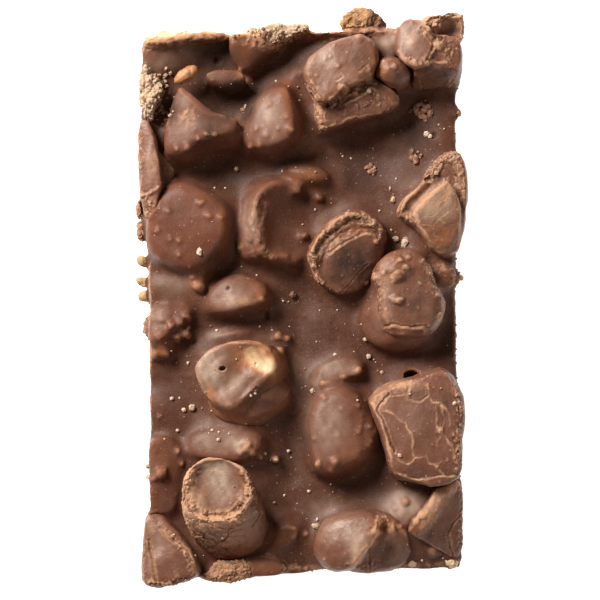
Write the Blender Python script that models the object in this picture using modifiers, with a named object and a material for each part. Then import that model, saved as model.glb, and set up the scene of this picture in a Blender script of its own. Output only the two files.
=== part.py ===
"""Rocky road: one cut slab of milk chocolate, 76 mm wide and 133 mm long, lying flat.

The slab is a single solid. Lumps that the poured chocolate covers without a break are relief in
it, and the pieces that stand out of it in a shell of their own, the biscuit that shows at the
edges and the flakes that stick out of the sides are solids of their own, each seated in a pocket.
The origin is on the underside, in the middle of the slab, with +Y towards the slab's far end.
"""

import bpy
import bmesh
import math
from mathutils import Matrix, Vector, noise

# ---------------------------------------------------------------- driving dimensions, in millimetres
MM = 0.001
SLAB_WIDTH = 75.0           # between the long cut sides
SLAB_LENGTH = 130.0         # between the short cut sides, along the middle
FLOOR = 8.0                 # level of the poured chocolate between the lumps
RIM_WIDTH = 1.1             # the chocolate stands a little higher along the cut
RIM_HEIGHT = 0.8
ROOT = FLOOR - 2.0          # lumps run this far down into the slab
COLLAR = FLOOR + 2.4        # the poured chocolate climbs this high round a seated piece
POCKET = 5.4                # level of the flat bottom of each seated piece
GAP = 0.42                  # clearance, measured along the corners' normals
HAIR = 0.04                 # points nearer to each other than this are one
SLAB_VOXEL = 0.55
PIECE_VOXEL = 0.42
SLAB_TRIANGLES = 7620
CHAMFER = 0.17              # share of an edge that a crisp outline cuts off at each corner

# Profiles: (scale of the outline, share of the height), from the crown down to the root.
# The first three end in a wide concave foot, as poured chocolate does where it runs off a lump.
ROUND = ((0.42, 1.0), (0.78, 0.90), (0.98, 0.62), (1.12, 0.40), (1.34, 0.26), (1.50, 0.08))
CREST = ((0.52, 1.0), (0.94, 0.97), (1.04, 0.74), (1.15, 0.46), (1.36, 0.27), (1.52, 0.08))
SLUMPED = ((0.55, 1.0), (0.90, 0.95), (1.02, 0.74), (1.08, 0.46), (1.24, 0.27), (1.38, 0.08))
LOW = ((0.50, 1.0), (0.85, 0.92), (1.20, 0.60), (1.50, 0.30))
UPRIGHT = ((0.55, 1.0), (0.91, 0.97), (1.01, 0.80), (1.03, 0.38), (1.0, 0.0))
BLOCK = ((0.55, 1.0), (0.93, 0.99), (1.0, 0.90), (1.03, 0.45), (1.0, 0.0))
BALL = ((0.42, 1.0), (0.78, 0.90), (1.0, 0.58), (1.02, 0.26), (0.95, 0.0))
DISHED = ((0.45, 0.84), (0.72, 0.87), (0.92, 1.0), (1.04, 0.84), (1.12, 0.40), (1.10, 0.0))
RECESSED = ((0.50, 0.90), (0.80, 0.90), (0.86, 1.0), (0.97, 0.99), (1.04, 0.70), (1.0, 0.0))

# ---------------------------------------------------------------- scene and finishes
for old in list(bpy.data.objects):
    bpy.data.objects.remove(old, do_unlink=True)

parts = bpy.data.collections.new("rocky_road")
bpy.context.scene.collection.children.link(parts)
cutters = bpy.data.collections.new("cutters")
bpy.context.scene.collection.children.link(cutters)


def finish(name, colour, roughness):
    """A Principled material with one colour; none of the pieces is metal."""
    material = bpy.data.materials.new(name)
    material.use_nodes = True
    shader = material.node_tree.nodes["Principled BSDF"]
    shader.inputs["Base Color"].default_value = (*colour, 1.0)
    shader.inputs["Roughness"].default_value = roughness
    shader.inputs["Metallic"].default_value = 0.0
    return material


POURED = finish("poured_chocolate", (0.130, 0.062, 0.038), 0.42)
SHELL = finish("shell_chocolate", (0.200, 0.095, 0.055), 0.50)
BISCUIT = finish("biscuit", (0.640, 0.430, 0.230), 0.85)
FLAKE = finish("pale_flake", (0.820, 0.680, 0.420), 0.70)
CRISP = finish("puffed_grain", (0.480, 0.210, 0.080), 0.55)


# ---------------------------------------------------------------- modelling tools
def add_object(name, mesh, collection):
    item = bpy.data.objects.new(name, mesh)
    collection.objects.link(item)
    return item


def apply_modifiers(item):
    """Replace the object's mesh by its evaluated one."""
    depsgraph = bpy.context.evaluated_depsgraph_get()
    mesh = bpy.data.meshes.new_from_object(item.evaluated_get(depsgraph))
    item.modifiers.clear()
    old = item.data
    item.data = mesh
    bpy.data.meshes.remove(old)


def signed_area(corners):
    """Area of a flat outline, positive where it runs anticlockwise."""
    ahead = corners[1:] + corners[:1]
    return 0.5 * sum(a[0] * b[1] - b[0] * a[1] for a, b in zip(corners, ahead))


def stone(name, corners, top, base=ROOT, profile=ROUND, slope=(0.0, 0.0), lean=(0.0, 0.0),
          dome=0.4, crisp=False, collection=None):
    """A lump from a sphere: each ring of it follows the outline at its own scale and height.

    A corner is x, y and, where it stands above or below the crown, its extra height. slope is the
    rise of the crown for each millimetre along X and Y, and lean is how far the root lies to the
    side of the crown. A crisp lump keeps the straight sides of its outline.
    """
    corners = [(*corner, 0.0)[:3] for corner in corners]
    if crisp:
        corners = [tuple(Vector(corner).lerp(Vector(beside), CHAMFER))
                   for before, corner, after in zip(corners[-1:] + corners, corners,
                                                    corners[1:] + corners[:1])
                   for beside in (before, after)]
    if signed_area(corners) < 0:
        corners.reverse()
    middle = [sum(corner[i] for corner in corners) / len(corners) for i in range(3)]
    bm = bmesh.new()
    bmesh.ops.create_uvsphere(bm, u_segments=len(corners), v_segments=len(profile) + 1, radius=1.0)
    levels = {}
    for vert in bm.verts:
        levels.setdefault(round(vert.co.z, 4), []).append(vert)
    crown, *rings, root = [levels[level] for level in sorted(levels, reverse=True)]
    crown[0].co = (middle[0], middle[1], base + profile[0][1] * (top + middle[2] - base) + dome)
    root[0].co = (middle[0] + lean[0], middle[1] + lean[1], base)
    for ring, (scale, share) in zip(rings, profile):
        ring.sort(key=lambda v: math.atan2(v.co.y, v.co.x))
        for vert, (x, y, up) in zip(ring, corners):
            out_x = scale * (x - middle[0])
            out_y = scale * (y - middle[1])
            up = middle[2] + min(scale, 1.0) * (up - middle[2])
            rise = top - base + up + slope[0] * out_x + slope[1] * out_y
            vert.co = (middle[0] + out_x + lean[0] * (1 - share),
                       middle[1] + out_y + lean[1] * (1 - share),
                       base + share * rise)
    bmesh.ops.scale(bm, vec=(MM, MM, MM), verts=bm.verts)
    bmesh.ops.recalc_face_normals(bm, faces=bm.faces)
    mesh = bpy.data.meshes.new(name)
    bm.to_mesh(mesh)
    bm.free()
    item = add_object(name, mesh, collection)
    soften = item.modifiers.new("soften", "SUBSURF")
    soften.levels = 2
    soften.render_levels = 2
    apply_modifiers(item)
    return item


def grain(name, at, size, turn=0.0, tip=0.0, collection=None):
    """A puffed grain or a small round lump: an ellipsoid of the given length, width and height."""
    bm = bmesh.new()
    bmesh.ops.create_uvsphere(bm, u_segments=12, v_segments=8, radius=0.5)
    place = (Matrix.Translation(Vector(at) * MM)
             @ Matrix.Rotation(math.radians(turn), 4, "Z")
             @ Matrix.Rotation(math.radians(tip), 4, "Y")
             @ Matrix.Diagonal((*(Vector(size) * MM), 1.0)))
    bmesh.ops.transform(bm, matrix=place, verts=bm.verts)
    mesh = bpy.data.meshes.new(name)
    bm.to_mesh(mesh)
    bm.free()
    return add_object(name, mesh, collection)


def roughen(item, depth, grain_size):
    """Uneven skin: every vertex moves along its normal by a smooth noise of its place."""
    mesh = item.data
    normals = [v.normal.copy() for v in mesh.vertices]
    for vert, normal in zip(mesh.vertices, normals):
        vert.co += normal * (depth * MM * noise.noise(vert.co / (grain_size * MM)))


def fuse(name, build, voxel, passes, sides=None):
    """One skin over everything that build() models: a union, a fine remesh and a light smoothing.

    sides, where given, is a prism that everything is trimmed to.
    """
    crowd = bpy.data.collections.new(name + "_lumps")
    bpy.context.scene.collection.children.link(crowd)
    build(crowd)
    members = list(crowd.objects)
    body = members[0]
    crowd.objects.unlink(body)
    parts.objects.link(body)
    body.name = name
    if len(members) > 1:
        union = body.modifiers.new("union", "BOOLEAN")
        union.operation = "UNION"
        union.operand_type = "COLLECTION"
        union.collection = crowd
        union.solver = "MANIFOLD"
    if sides:
        trim = body.modifiers.new("trim", "BOOLEAN")
        trim.operation = "INTERSECT"
        trim.object = sides
        trim.solver = "MANIFOLD"
    skin = body.modifiers.new("skin", "REMESH")
    skin.mode = "VOXEL"
    skin.voxel_size = voxel * MM
    relax = body.modifiers.new("relax", "SMOOTH")
    relax.factor = 0.5
    relax.iterations = passes
    apply_modifiers(body)
    for member in members[1:]:
        bpy.data.objects.remove(member, do_unlink=True)
    bpy.data.collections.remove(crowd)
    return body


def thin_out(item, triangles):
    """Fewer faces, where the surface is flattest first."""
    count = sum(len(face.vertices) - 2 for face in item.data.polygons)
    reduce = item.modifiers.new("reduce", "DECIMATE")
    reduce.ratio = min(1.0, triangles / count)
    apply_modifiers(item)


def keep_largest(bm):
    """Drop loose scraps and keep the one body that has the most faces."""
    waiting = set(bm.verts)
    bodies = []
    while waiting:
        front = [waiting.pop()]
        body = set(front)
        while front:
            for edge in front.pop().link_edges:
                for vert in edge.verts:
                    if vert in waiting:
                        waiting.discard(vert)
                        body.add(vert)
                        front.append(vert)
        bodies.append(body)
    bodies.sort(key=len)
    for body in bodies[:-1]:
        bmesh.ops.delete(bm, geom=list(body), context="VERTS")


def flatten_underside(item, level):
    """Cut everything below the level away and close the cut with one flat face."""
    bm = bmesh.new()
    bm.from_mesh(item.data)
    geometry = bm.verts[:] + bm.edges[:] + bm.faces[:]
    cut = bmesh.ops.bisect_plane(bm, geom=geometry, dist=0.00001, plane_co=(0.0, 0.0, level * MM),
                                 plane_no=(0.0, 0.0, 1.0), clear_inner=True)
    rim = [e for e in cut["geom_cut"] if isinstance(e, bmesh.types.BMEdge)]
    bmesh.ops.holes_fill(bm, edges=rim, sides=0)
    keep_largest(bm)
    bmesh.ops.triangulate(bm, faces=bm.faces)
    bmesh.ops.recalc_face_normals(bm, faces=bm.faces)
    bm.to_mesh(item.data)
    bm.free()


seated = []


def seat(item, material):
    """Give a piece its finish and a pocket cutter, and clear it of the pieces seated before it."""
    for cutter in seated:
        cut(item, cutter)
    item.data.materials.clear()
    item.data.materials.append(material)
    cutter = add_object("pocket_" + item.name, item.data.copy(), cutters)
    swell = cutter.modifiers.new("swell", "DISPLACE")
    swell.strength = GAP * MM
    swell.mid_level = 0.0
    cutter.hide_render = True
    cutter.display_type = "WIRE"
    apply_modifiers(cutter)
    seated.append(cutter)


def reach(item):
    """Lowest and highest corner of an object's mesh."""
    places = [v.co for v in item.data.vertices]
    low = Vector([min(p[i] for p in places) for i in range(3)])
    high = Vector([max(p[i] for p in places) for i in range(3)])
    return low, high


def cut(item, cutter):
    """Take the cutter's shape out of the item, where their boxes meet."""
    low, high = reach(item)
    cutter_low, cutter_high = reach(cutter)
    if any(low[i] > cutter_high[i] or high[i] < cutter_low[i] for i in range(3)):
        return
    pocket = item.modifiers.new("pocket", "BOOLEAN")
    pocket.operation = "DIFFERENCE"
    pocket.object = cutter
    pocket.solver = "MANIFOLD"
    apply_modifiers(item)
    bm = bmesh.new()
    bm.from_mesh(item.data)
    bmesh.ops.remove_doubles(bm, verts=bm.verts, dist=HAIR * MM)
    keep_largest(bm)
    bm.to_mesh(item.data)
    bm.free()


def piece(name, material, build, triangles=330, bottom=POCKET, rough=0.25, rough_size=3.0):
    """A piece of its own: fused, made a little uneven, thinned, flat below and seated."""
    item = fuse(name, build, PIECE_VOXEL, 2)
    roughen(item, rough, rough_size)
    thin_out(item, triangles)
    flatten_underside(item, bottom)
    seat(item, material)
    return item


# ---------------------------------------------------------------- pieces in a shell of their own
# Outlines are seen from above, anticlockwise or clockwise, each corner as x and y.
TOP_UPPER = ((0.0, 54.5), (2.6, 58.2), (6.0, 60.8), (11.0, 62.2), (14.6, 63.4), (17.8, 60.8),
             (18.4, 56.0), (16.8, 52.6), (11.0, 51.0), (7.0, 46.6), (4.2, 46.0), (1.4, 50.4))
TOP_LEDGE = ((3.4, 48.0), (9.0, 51.0), (16.5, 53.4), (22.4, 50.2), (24.0, 46.6), (20.5, 44.4),
             (14.5, 43.4), (9.0, 41.4), (4.8, 39.6), (3.4, 43.6))
TOP_BALL = ((18.0, 57.2), (21.4, 58.8), (25.0, 57.2), (26.8, 54.0), (25.2, 50.4), (21.6, 49.2),
            (18.4, 50.6), (16.8, 54.0))
RIGHT_WALL = ((22.6, 20.7), (24.4, 23.8), (29.8, 29.8), (32.0, 33.2), (35.0, 35.4), (38.4, 34.6),
              (39.8, 28.0), (39.2, 20.0), (37.8, 11.6), (34.0, 10.0), (30.8, 12.0), (27.4, 17.4),
              (25.0, 18.4))
RIGHT_FACET = ((25.8, 20.4, 0.6), (30.0, 25.4, 0.8), (34.6, 29.4, 0.4), (37.4, 24.4), (37.8, 19.0),
               (37.0, 12.8, -1.6), (33.8, 11.2, -2.0), (30.2, 13.6, -1.0), (27.8, 16.8))
DISC_SHELL = ((1.5, 10.4), (2.6, 14.4), (7.4, 19.2), (11.2, 21.6), (15.8, 21.2), (20.0, 18.0),
              (20.8, 12.0), (17.6, 5.8), (13.2, 1.2), (8.0, 1.0), (3.8, 4.0), (2.6, 8.0))
DISC_INNER = ((4.6, 8.8), (6.4, 12.8), (10.8, 16.2), (15.2, 17.6), (19.0, 16.2), (20.0, 11.8),
              (17.2, 6.4), (12.8, 2.0), (8.2, 1.8), (5.0, 5.0))
LOG_BODY = ((16.2, 6.4), (18.2, 10.0), (23.8, 13.4), (27.8, 12.0), (31.2, 8.6), (31.6, 4.0),
            (34.8, 0.6), (33.8, -3.8), (31.6, -7.2), (28.0, -8.6), (22.0, -8.4), (18.8, -5.8),
            (18.0, -1.0), (18.4, 3.2))
CUP_RIM = ((-26.2, -15.6), (-24.0, -12.2), (-19.0, -9.8), (-13.0, -8.9), (-7.8, -9.9), (-5.2, -13.8),
           (-6.6, -18.0), (-11.0, -20.6), (-13.8, -24.6), (-17.6, -26.6), (-21.8, -24.0),
           (-24.2, -20.4))
CUP_FLANK = ((-21.0, -16.0), (-8.0, -14.2), (-2.8, -19.0), (-0.9, -22.8), (-3.2, -26.6),
             (-9.0, -30.0), (-15.0, -31.2), (-20.8, -29.0), (-23.2, -23.4))
CRACKED_BLOCK = ((15.8, -24.0), (18.6, -20.6), (25.0, -19.0), (32.8, -16.1), (35.6, -17.4),
                 (38.8, -23.2), (38.9, -29.0), (38.1, -34.0), (38.2, -42.6), (32.0, -44.6),
                 (25.4, -42.8), (21.6, -42.4), (20.2, -36.4), (17.8, -28.6))
BARREL = ((-29.0, -44.0), (-27.6, -39.4), (-23.6, -36.4), (-18.8, -35.8), (-13.8, -37.8),
          (-10.8, -42.2), (-10.8, -47.2), (-14.2, -51.2), (-20.0, -52.8), (-25.8, -52.0),
          (-29.0, -48.6))
BOTTOM_LEFT = ((-37.0, -51.2), (-33.0, -51.0), (-29.4, -55.0), (-24.8, -60.8), (-23.6, -65.4),
               (-28.6, -67.6), (-33.6, -68.8), (-37.8, -67.8), (-38.2, -62.0), (-37.6, -56.4))
BOTTOM_BODY = ((2.5, -58.4), (3.8, -54.0), (8.4, -50.8), (14.6, -49.8), (20.2, -51.0, -0.8),
               (18.2, -55.2, 0.8), (15.4, -60.0, 0.6), (12.6, -64.8, -0.6), (6.2, -65.2, -0.6),
               (3.4, -62.0))
BOTTOM_END = ((8.0, -52.6), (14.0, -50.4), (20.4, -50.4), (25.0, -53.4), (26.8, -58.0),
              (26.4, -63.6), (18.6, -65.6), (10.4, -65.4), (7.4, -59.0))
WEDGE = ((25.0, -54.8, 0.4), (27.8, -51.0, 1.0), (30.4, -48.2, 1.2), (31.8, -44.6, 1.0),
         (34.6, -42.6, 0.6), (38.6, -44.0), (38.7, -52.0), (38.7, -60.6, -0.6), (37.2, -62.4, -0.6),
         (31.6, -59.0), (27.6, -56.8))


def top_block(crowd):
    """Square lump with its near side broken down to a ledge."""
    stone("upper", TOP_UPPER, 19.8, profile=BLOCK, slope=(0.06, -0.12), lean=(0.4, 0.0), crisp=True,
          collection=crowd)
    stone("ledge", TOP_LEDGE, 16.0, profile=BLOCK, slope=(-0.06, 0.14), crisp=True,
          collection=crowd)


def top_ball(crowd):
    """Round ball with a cut face, caught between two larger lumps."""
    stone("ball", TOP_BALL, 19.0, profile=BALL, slope=(-0.12, 0.10), collection=crowd)


def top_right_corner(crowd):
    """Corner lump: a pale tilted face, a block with a steep near side and a crumbled hollow corner."""
    stone("pale_face", ((22.4, 59.4), (23.0, 65.0), (25.0, 67.0), (28.6, 66.4), (31.6, 63.0),
                        (31.8, 58.0), (29.8, 55.2), (26.0, 55.0), (23.4, 56.8)),
          19.0, profile=BLOCK, slope=(0.10, -0.16), crisp=True, collection=crowd)
    stone("right_block", ((28.0, 62.8), (33.4, 63.8), (37.9, 62.4), (38.2, 58.0), (37.6, 54.4),
                          (32.0, 54.2), (26.2, 53.6), (27.6, 57.6)),
          18.0, profile=((0.55, 1.0), (0.94, 0.98), (1.02, 0.84), (1.06, 0.46), (1.10, 0.0)),
          lean=(0.2, -4.4), crisp=True, collection=crowd)
    stone("corner", ((28.6, 67.4), (33.6, 67.8), (36.0, 69.0), (39.0, 68.0), (39.1, 61.2), (34.0, 60.6),
                     (28.0, 62.6)),
          15.4, profile=((0.34, 0.62), (0.62, 0.66), (0.84, 1.0), (1.0, 0.92), (1.0, 0.0)),
          slope=(0.0, -0.08), dome=-0.6, crisp=True, collection=crowd)


def left_edge(crowd):
    """Lump that the left cut goes through: a narrow top and a triangular side."""
    stone("facet", ((-38.7, 43.0), (-35.8, 42.8), (-34.4, 37.0), (-33.2, 32.0), (-32.8, 28.0),
                    (-33.6, 24.0), (-34.6, 18.4), (-37.4, 19.6), (-38.6, 25.0), (-38.8, 34.0)),
          15.8, profile=BLOCK, slope=(0.24, 0.03), crisp=True, collection=crowd)
    stone("side", ((-37.0, 36.6), (-33.2, 35.4), (-29.2, 30.2), (-32.4, 25.2), (-36.0, 23.6)),
          13.2, profile=BLOCK, slope=(-0.34, 0.0), crisp=True, collection=crowd)


def right_edge(crowd):
    """Lump at the right cut: an inner block with a steep near face inside a broken outer wall."""
    stone("outer_wall", RIGHT_WALL, 15.8, profile=RECESSED, slope=(0.08, 0.10), crisp=True,
          collection=crowd)
    stone("facet", RIGHT_FACET, 18.4, profile=BLOCK, slope=(0.04, 0.10), crisp=True,
          collection=crowd)


def ribbed_disc(crowd):
    """Thick disc lying tilted, with a broken shell round its raised side."""
    stone("outer_shell", DISC_SHELL, 15.6, profile=RECESSED, slope=(-0.18, 0.24), collection=crowd)
    stone("inner_disc", DISC_INNER, 15.6, profile=UPRIGHT, slope=(-0.20, 0.26), collection=crowd)


def middle_right_log(crowd):
    """Tall knobbly lump, waisted, with its near end broken to a lip."""
    stone("body", LOG_BODY, 18.6, profile=UPRIGHT, slope=(-0.03, 0.0), lean=(0.0, -1.8),
          collection=crowd)
    stone("upper_lobe", ((16.8, 6.2), (18.8, 9.4), (23.6, 12.4), (28.0, 10.4), (29.0, 6.0),
                         (26.0, 2.8), (20.4, 2.8)), 19.6, profile=BALL, collection=crowd)


def open_cup(crowd):
    """Coated marshmallow with a dished top; its near side bulges out."""
    stone("cup", CUP_RIM, 17.8, profile=DISHED, slope=(0.0, 0.03), lean=(3.0, -3.2), dome=-0.6,
          collection=crowd)
    stone("flank", CUP_FLANK, 14.4, profile=BALL, slope=(-0.12, 0.16), collection=crowd)


def cracked_block(crowd):
    """Largest lump, flat on top, cut off by the right side."""
    stone("block", CRACKED_BLOCK, 18.8, profile=BLOCK, slope=(0.02, -0.01), crisp=True,
          collection=crowd)


def barrel(crowd):
    """Barrel standing askew, with a sunken round end."""
    stone("barrel", BARREL, 21.0, profile=RECESSED, slope=(0.05, -0.06), lean=(4.4, -13.0), dome=0.0,
          collection=crowd)


def bottom_left_corner(crowd):
    stone("corner", BOTTOM_LEFT, 15.0, profile=BLOCK, slope=(0.12, -0.02), crisp=True,
          collection=crowd)


def bottom_log(crowd):
    """Lump lying on its side; its flat round end faces right and down."""
    stone("body", BOTTOM_BODY, 18.4, profile=((0.50, 1.0), (0.86, 0.95), (1.0, 0.74), (1.03, 0.35),
                                             (1.0, 0.0)),
          slope=(0.22, -0.02), lean=(0.4, 0.0), collection=crowd)
    stone("round_end", BOTTOM_END, 14.4, profile=UPRIGHT, slope=(-0.24, 0.14), dome=0.0,
          collection=crowd)


def bottom_right_wedge(crowd):
    stone("wedge", WEDGE, 13.6, profile=BLOCK, slope=(-0.32, 0.14), crisp=True, collection=crowd)


piece("chunk_top", SHELL, top_block, 360)
piece("chunk_ball", SHELL, top_ball, 130)
piece("chunk_top_right", SHELL, top_right_corner, 420)
piece("chunk_left_edge", SHELL, left_edge, 220)
piece("chunk_right_edge", SHELL, right_edge, 380)
piece("chunk_disc", SHELL, ribbed_disc, 380)
piece("chunk_middle_right", SHELL, middle_right_log, 330)
piece("chunk_cup", SHELL, open_cup, 360)
piece("chunk_block", SHELL, cracked_block, 260)
piece("chunk_barrel", SHELL, barrel, 360)
piece("chunk_bottom_left", SHELL, bottom_left_corner, 180)
piece("chunk_bottom", SHELL, bottom_log, 330)
piece("chunk_bottom_right", SHELL, bottom_right_wedge, 200)


# ---------------------------------------------------------------- biscuit, flakes and crumbs
def crumbly(name, material, corners, top, bottom, triangles, slope=(0.0, 0.0)):
    """A broken bit of biscuit: a block with a coarse, knobbly skin."""
    def build(crowd):
        stone("bit", corners, top, base=bottom - 1.0, profile=UPRIGHT, slope=slope, collection=crowd)
    return piece(name, material, build, triangles, bottom, rough=0.9, rough_size=2.1)


def edge_grain(name, material, at, size, turn, tip, triangles=60):
    """A grain or flake that sticks out of the chocolate."""
    def build(crowd):
        grain("bit", at, size, turn, tip, collection=crowd)
    item = fuse(name, build, 0.25, 1)
    roughen(item, 0.25, 0.9)
    thin_out(item, triangles)
    seat(item, material)
    return item


crumbly("biscuit_left", BISCUIT, ((-38.7, 56.4), (-36.8, 56.2), (-35.6, 53.8), (-33.2, 52.2),
                                  (-32.2, 50.0), (-33.2, 47.6), (-34.8, 46.0), (-35.0, 42.6),
                                  (-38.5, 42.6)), 13.6, 5.0, 240)
crumbly("biscuit_top_left", FLAKE, ((-38.0, 64.2), (-31.0, 64.5), (-25.0, 64.6), (-25.6, 62.6),
                                    (-32.0, 61.4), (-38.0, 61.2)), 11.0, 3.4, 110)
crumbly("biscuit_top", BISCUIT, ((-13.4, 64.8), (-8.0, 65.8), (-3.0, 66.2), (2.2, 65.8), (2.4, 64.0),
                                 (-3.2, 62.8), (-5.4, 60.8), (-10.8, 60.6), (-13.4, 62.6)),
        13.4, 4.0, 200)
crumbly("biscuit_bottom", BISCUIT, ((-24.6, -66.8), (-21.4, -63.0), (-16.0, -61.6), (-10.8, -63.6),
                                    (-10.4, -66.2), (-16.6, -68.0), (-21.0, -67.2)), 12.8, 4.6, 200)
crumbly("crumb_top", BISCUIT, ((9.0, 65.0), (9.6, 68.4), (13.4, 70.2), (17.6, 70.0), (19.0, 67.6),
                               (20.4, 66.6), (20.2, 64.4), (14.0, 64.2)), 12.0, 4.2, 170)
crumbly("biscuit_corner", FLAKE, ((33.8, -62.0), (36.0, -60.6), (38.2, -61.4), (38.3, -64.4),
                                  (34.6, -64.6)), 9.6, 4.4, 80)
edge_grain("grain_top_left", CRISP, (-27.4, 53.7, 12.6), (6.6, 3.0, 3.0), 34, -6, 70)
edge_grain("flake_left_1", FLAKE, (-37.9, 9.2, 5.6), (4.4, 3.0, 1.7), -24, 10)
edge_grain("flake_left_2", FLAKE, (-38.0, 4.3, 5.0), (4.6, 2.6, 1.7), -18, 6)
edge_grain("flake_left_3", FLAKE, (-37.6, 0.9, 3.6), (4.4, 3.0, 1.6), 8, 0)
edge_grain("crumb_left_1", BISCUIT, (-38.5, 21.6, 8.2), (2.9, 5.2, 4.6), 4, 0, 70)
edge_grain("crumb_left_2", BISCUIT, (-38.4, 16.6, 7.4), (2.7, 6.0, 3.8), 6, 0, 70)
edge_grain("crumb_left_3", BISCUIT, (-36.8, -6.6, 8.0), (2.7, 4.6, 3.2), 0, 0, 60)
edge_grain("crumb_right_1", FLAKE, (37.9, 5.4, 7.6), (2.8, 2.2, 2.4), 10, 0, 50)
edge_grain("crumb_right_2", BISCUIT, (37.7, 45.0, 7.8), (2.0, 2.6, 2.6), 0, 0, 50)


# ---------------------------------------------------------------- the slab
def cut_outline():
    """Corners of the cut sides, from driving sizes: nearly straight, and skewed at both ends."""
    half_width = 0.5 * SLAB_WIDTH
    half_length = 0.5 * SLAB_LENGTH
    far = half_length - 1.4
    near = -half_length - 0.2
    return ((-half_width - 0.8, far - 2.2), (-24.0, far + 0.4), (-10.0, far - 0.4), (4.0, far + 0.4),
            (24.0, far + 1.2), (half_width + 0.9, far + 3.8), (half_width - 0.2, far - 9.0),
            (half_width - 0.4, 12.0), (half_width - 0.2, -14.0), (half_width + 0.6, -34.0),
            (half_width + 0.8, near + 0.6), (5.0, near + 0.4), (-12.0, near - 1.6), (-24.0, near - 1.2),
            (-half_width - 0.2, near - 2.8), (-half_width + 1.2, -52.0), (-half_width + 1.2, -14.0),
            (-half_width + 0.8, 14.0), (-half_width - 0.7, 24.0))


def prism(name, bottom, height, collection, rimmed=False):
    """The slab's outline, extruded upwards. A rimmed one has a sunken top inside a narrow rim."""
    bm = bmesh.new()
    outline = [bm.verts.new((x * MM, y * MM, bottom * MM)) for x, y in cut_outline()]
    risen = bmesh.ops.extrude_face_region(bm, geom=[bm.faces.new(outline)])
    lifted = [g for g in risen["geom"] if isinstance(g, bmesh.types.BMVert)]
    bmesh.ops.translate(bm, verts=lifted, vec=(0.0, 0.0, height * MM))
    if rimmed:
        top = [g for g in risen["geom"] if isinstance(g, bmesh.types.BMFace)]
        bmesh.ops.inset_region(bm, faces=top, thickness=RIM_WIDTH * MM)
        bmesh.ops.translate(bm, verts=top[0].verts, vec=(0.0, 0.0, -RIM_HEIGHT * MM))
    bmesh.ops.triangulate(bm, faces=bm.faces)
    bmesh.ops.recalc_face_normals(bm, faces=bm.faces)
    mesh = bpy.data.meshes.new(name)
    bm.to_mesh(mesh)
    bm.free()
    return add_object(name, mesh, collection)


def collars(crowd):
    """The poured chocolate climbs a little way up the pieces that are seated in it."""
    for outline in (TOP_UPPER, TOP_LEDGE, TOP_BALL, RIGHT_WALL, DISC_SHELL, LOG_BODY, CUP_RIM,
                    CUP_FLANK, CRACKED_BLOCK, BARREL, BOTTOM_BODY, BOTTOM_END, WEDGE, BOTTOM_LEFT):
        stone("collar", outline, COLLAR, profile=LOW, base=FLOOR - 0.6, collection=crowd)


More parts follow.
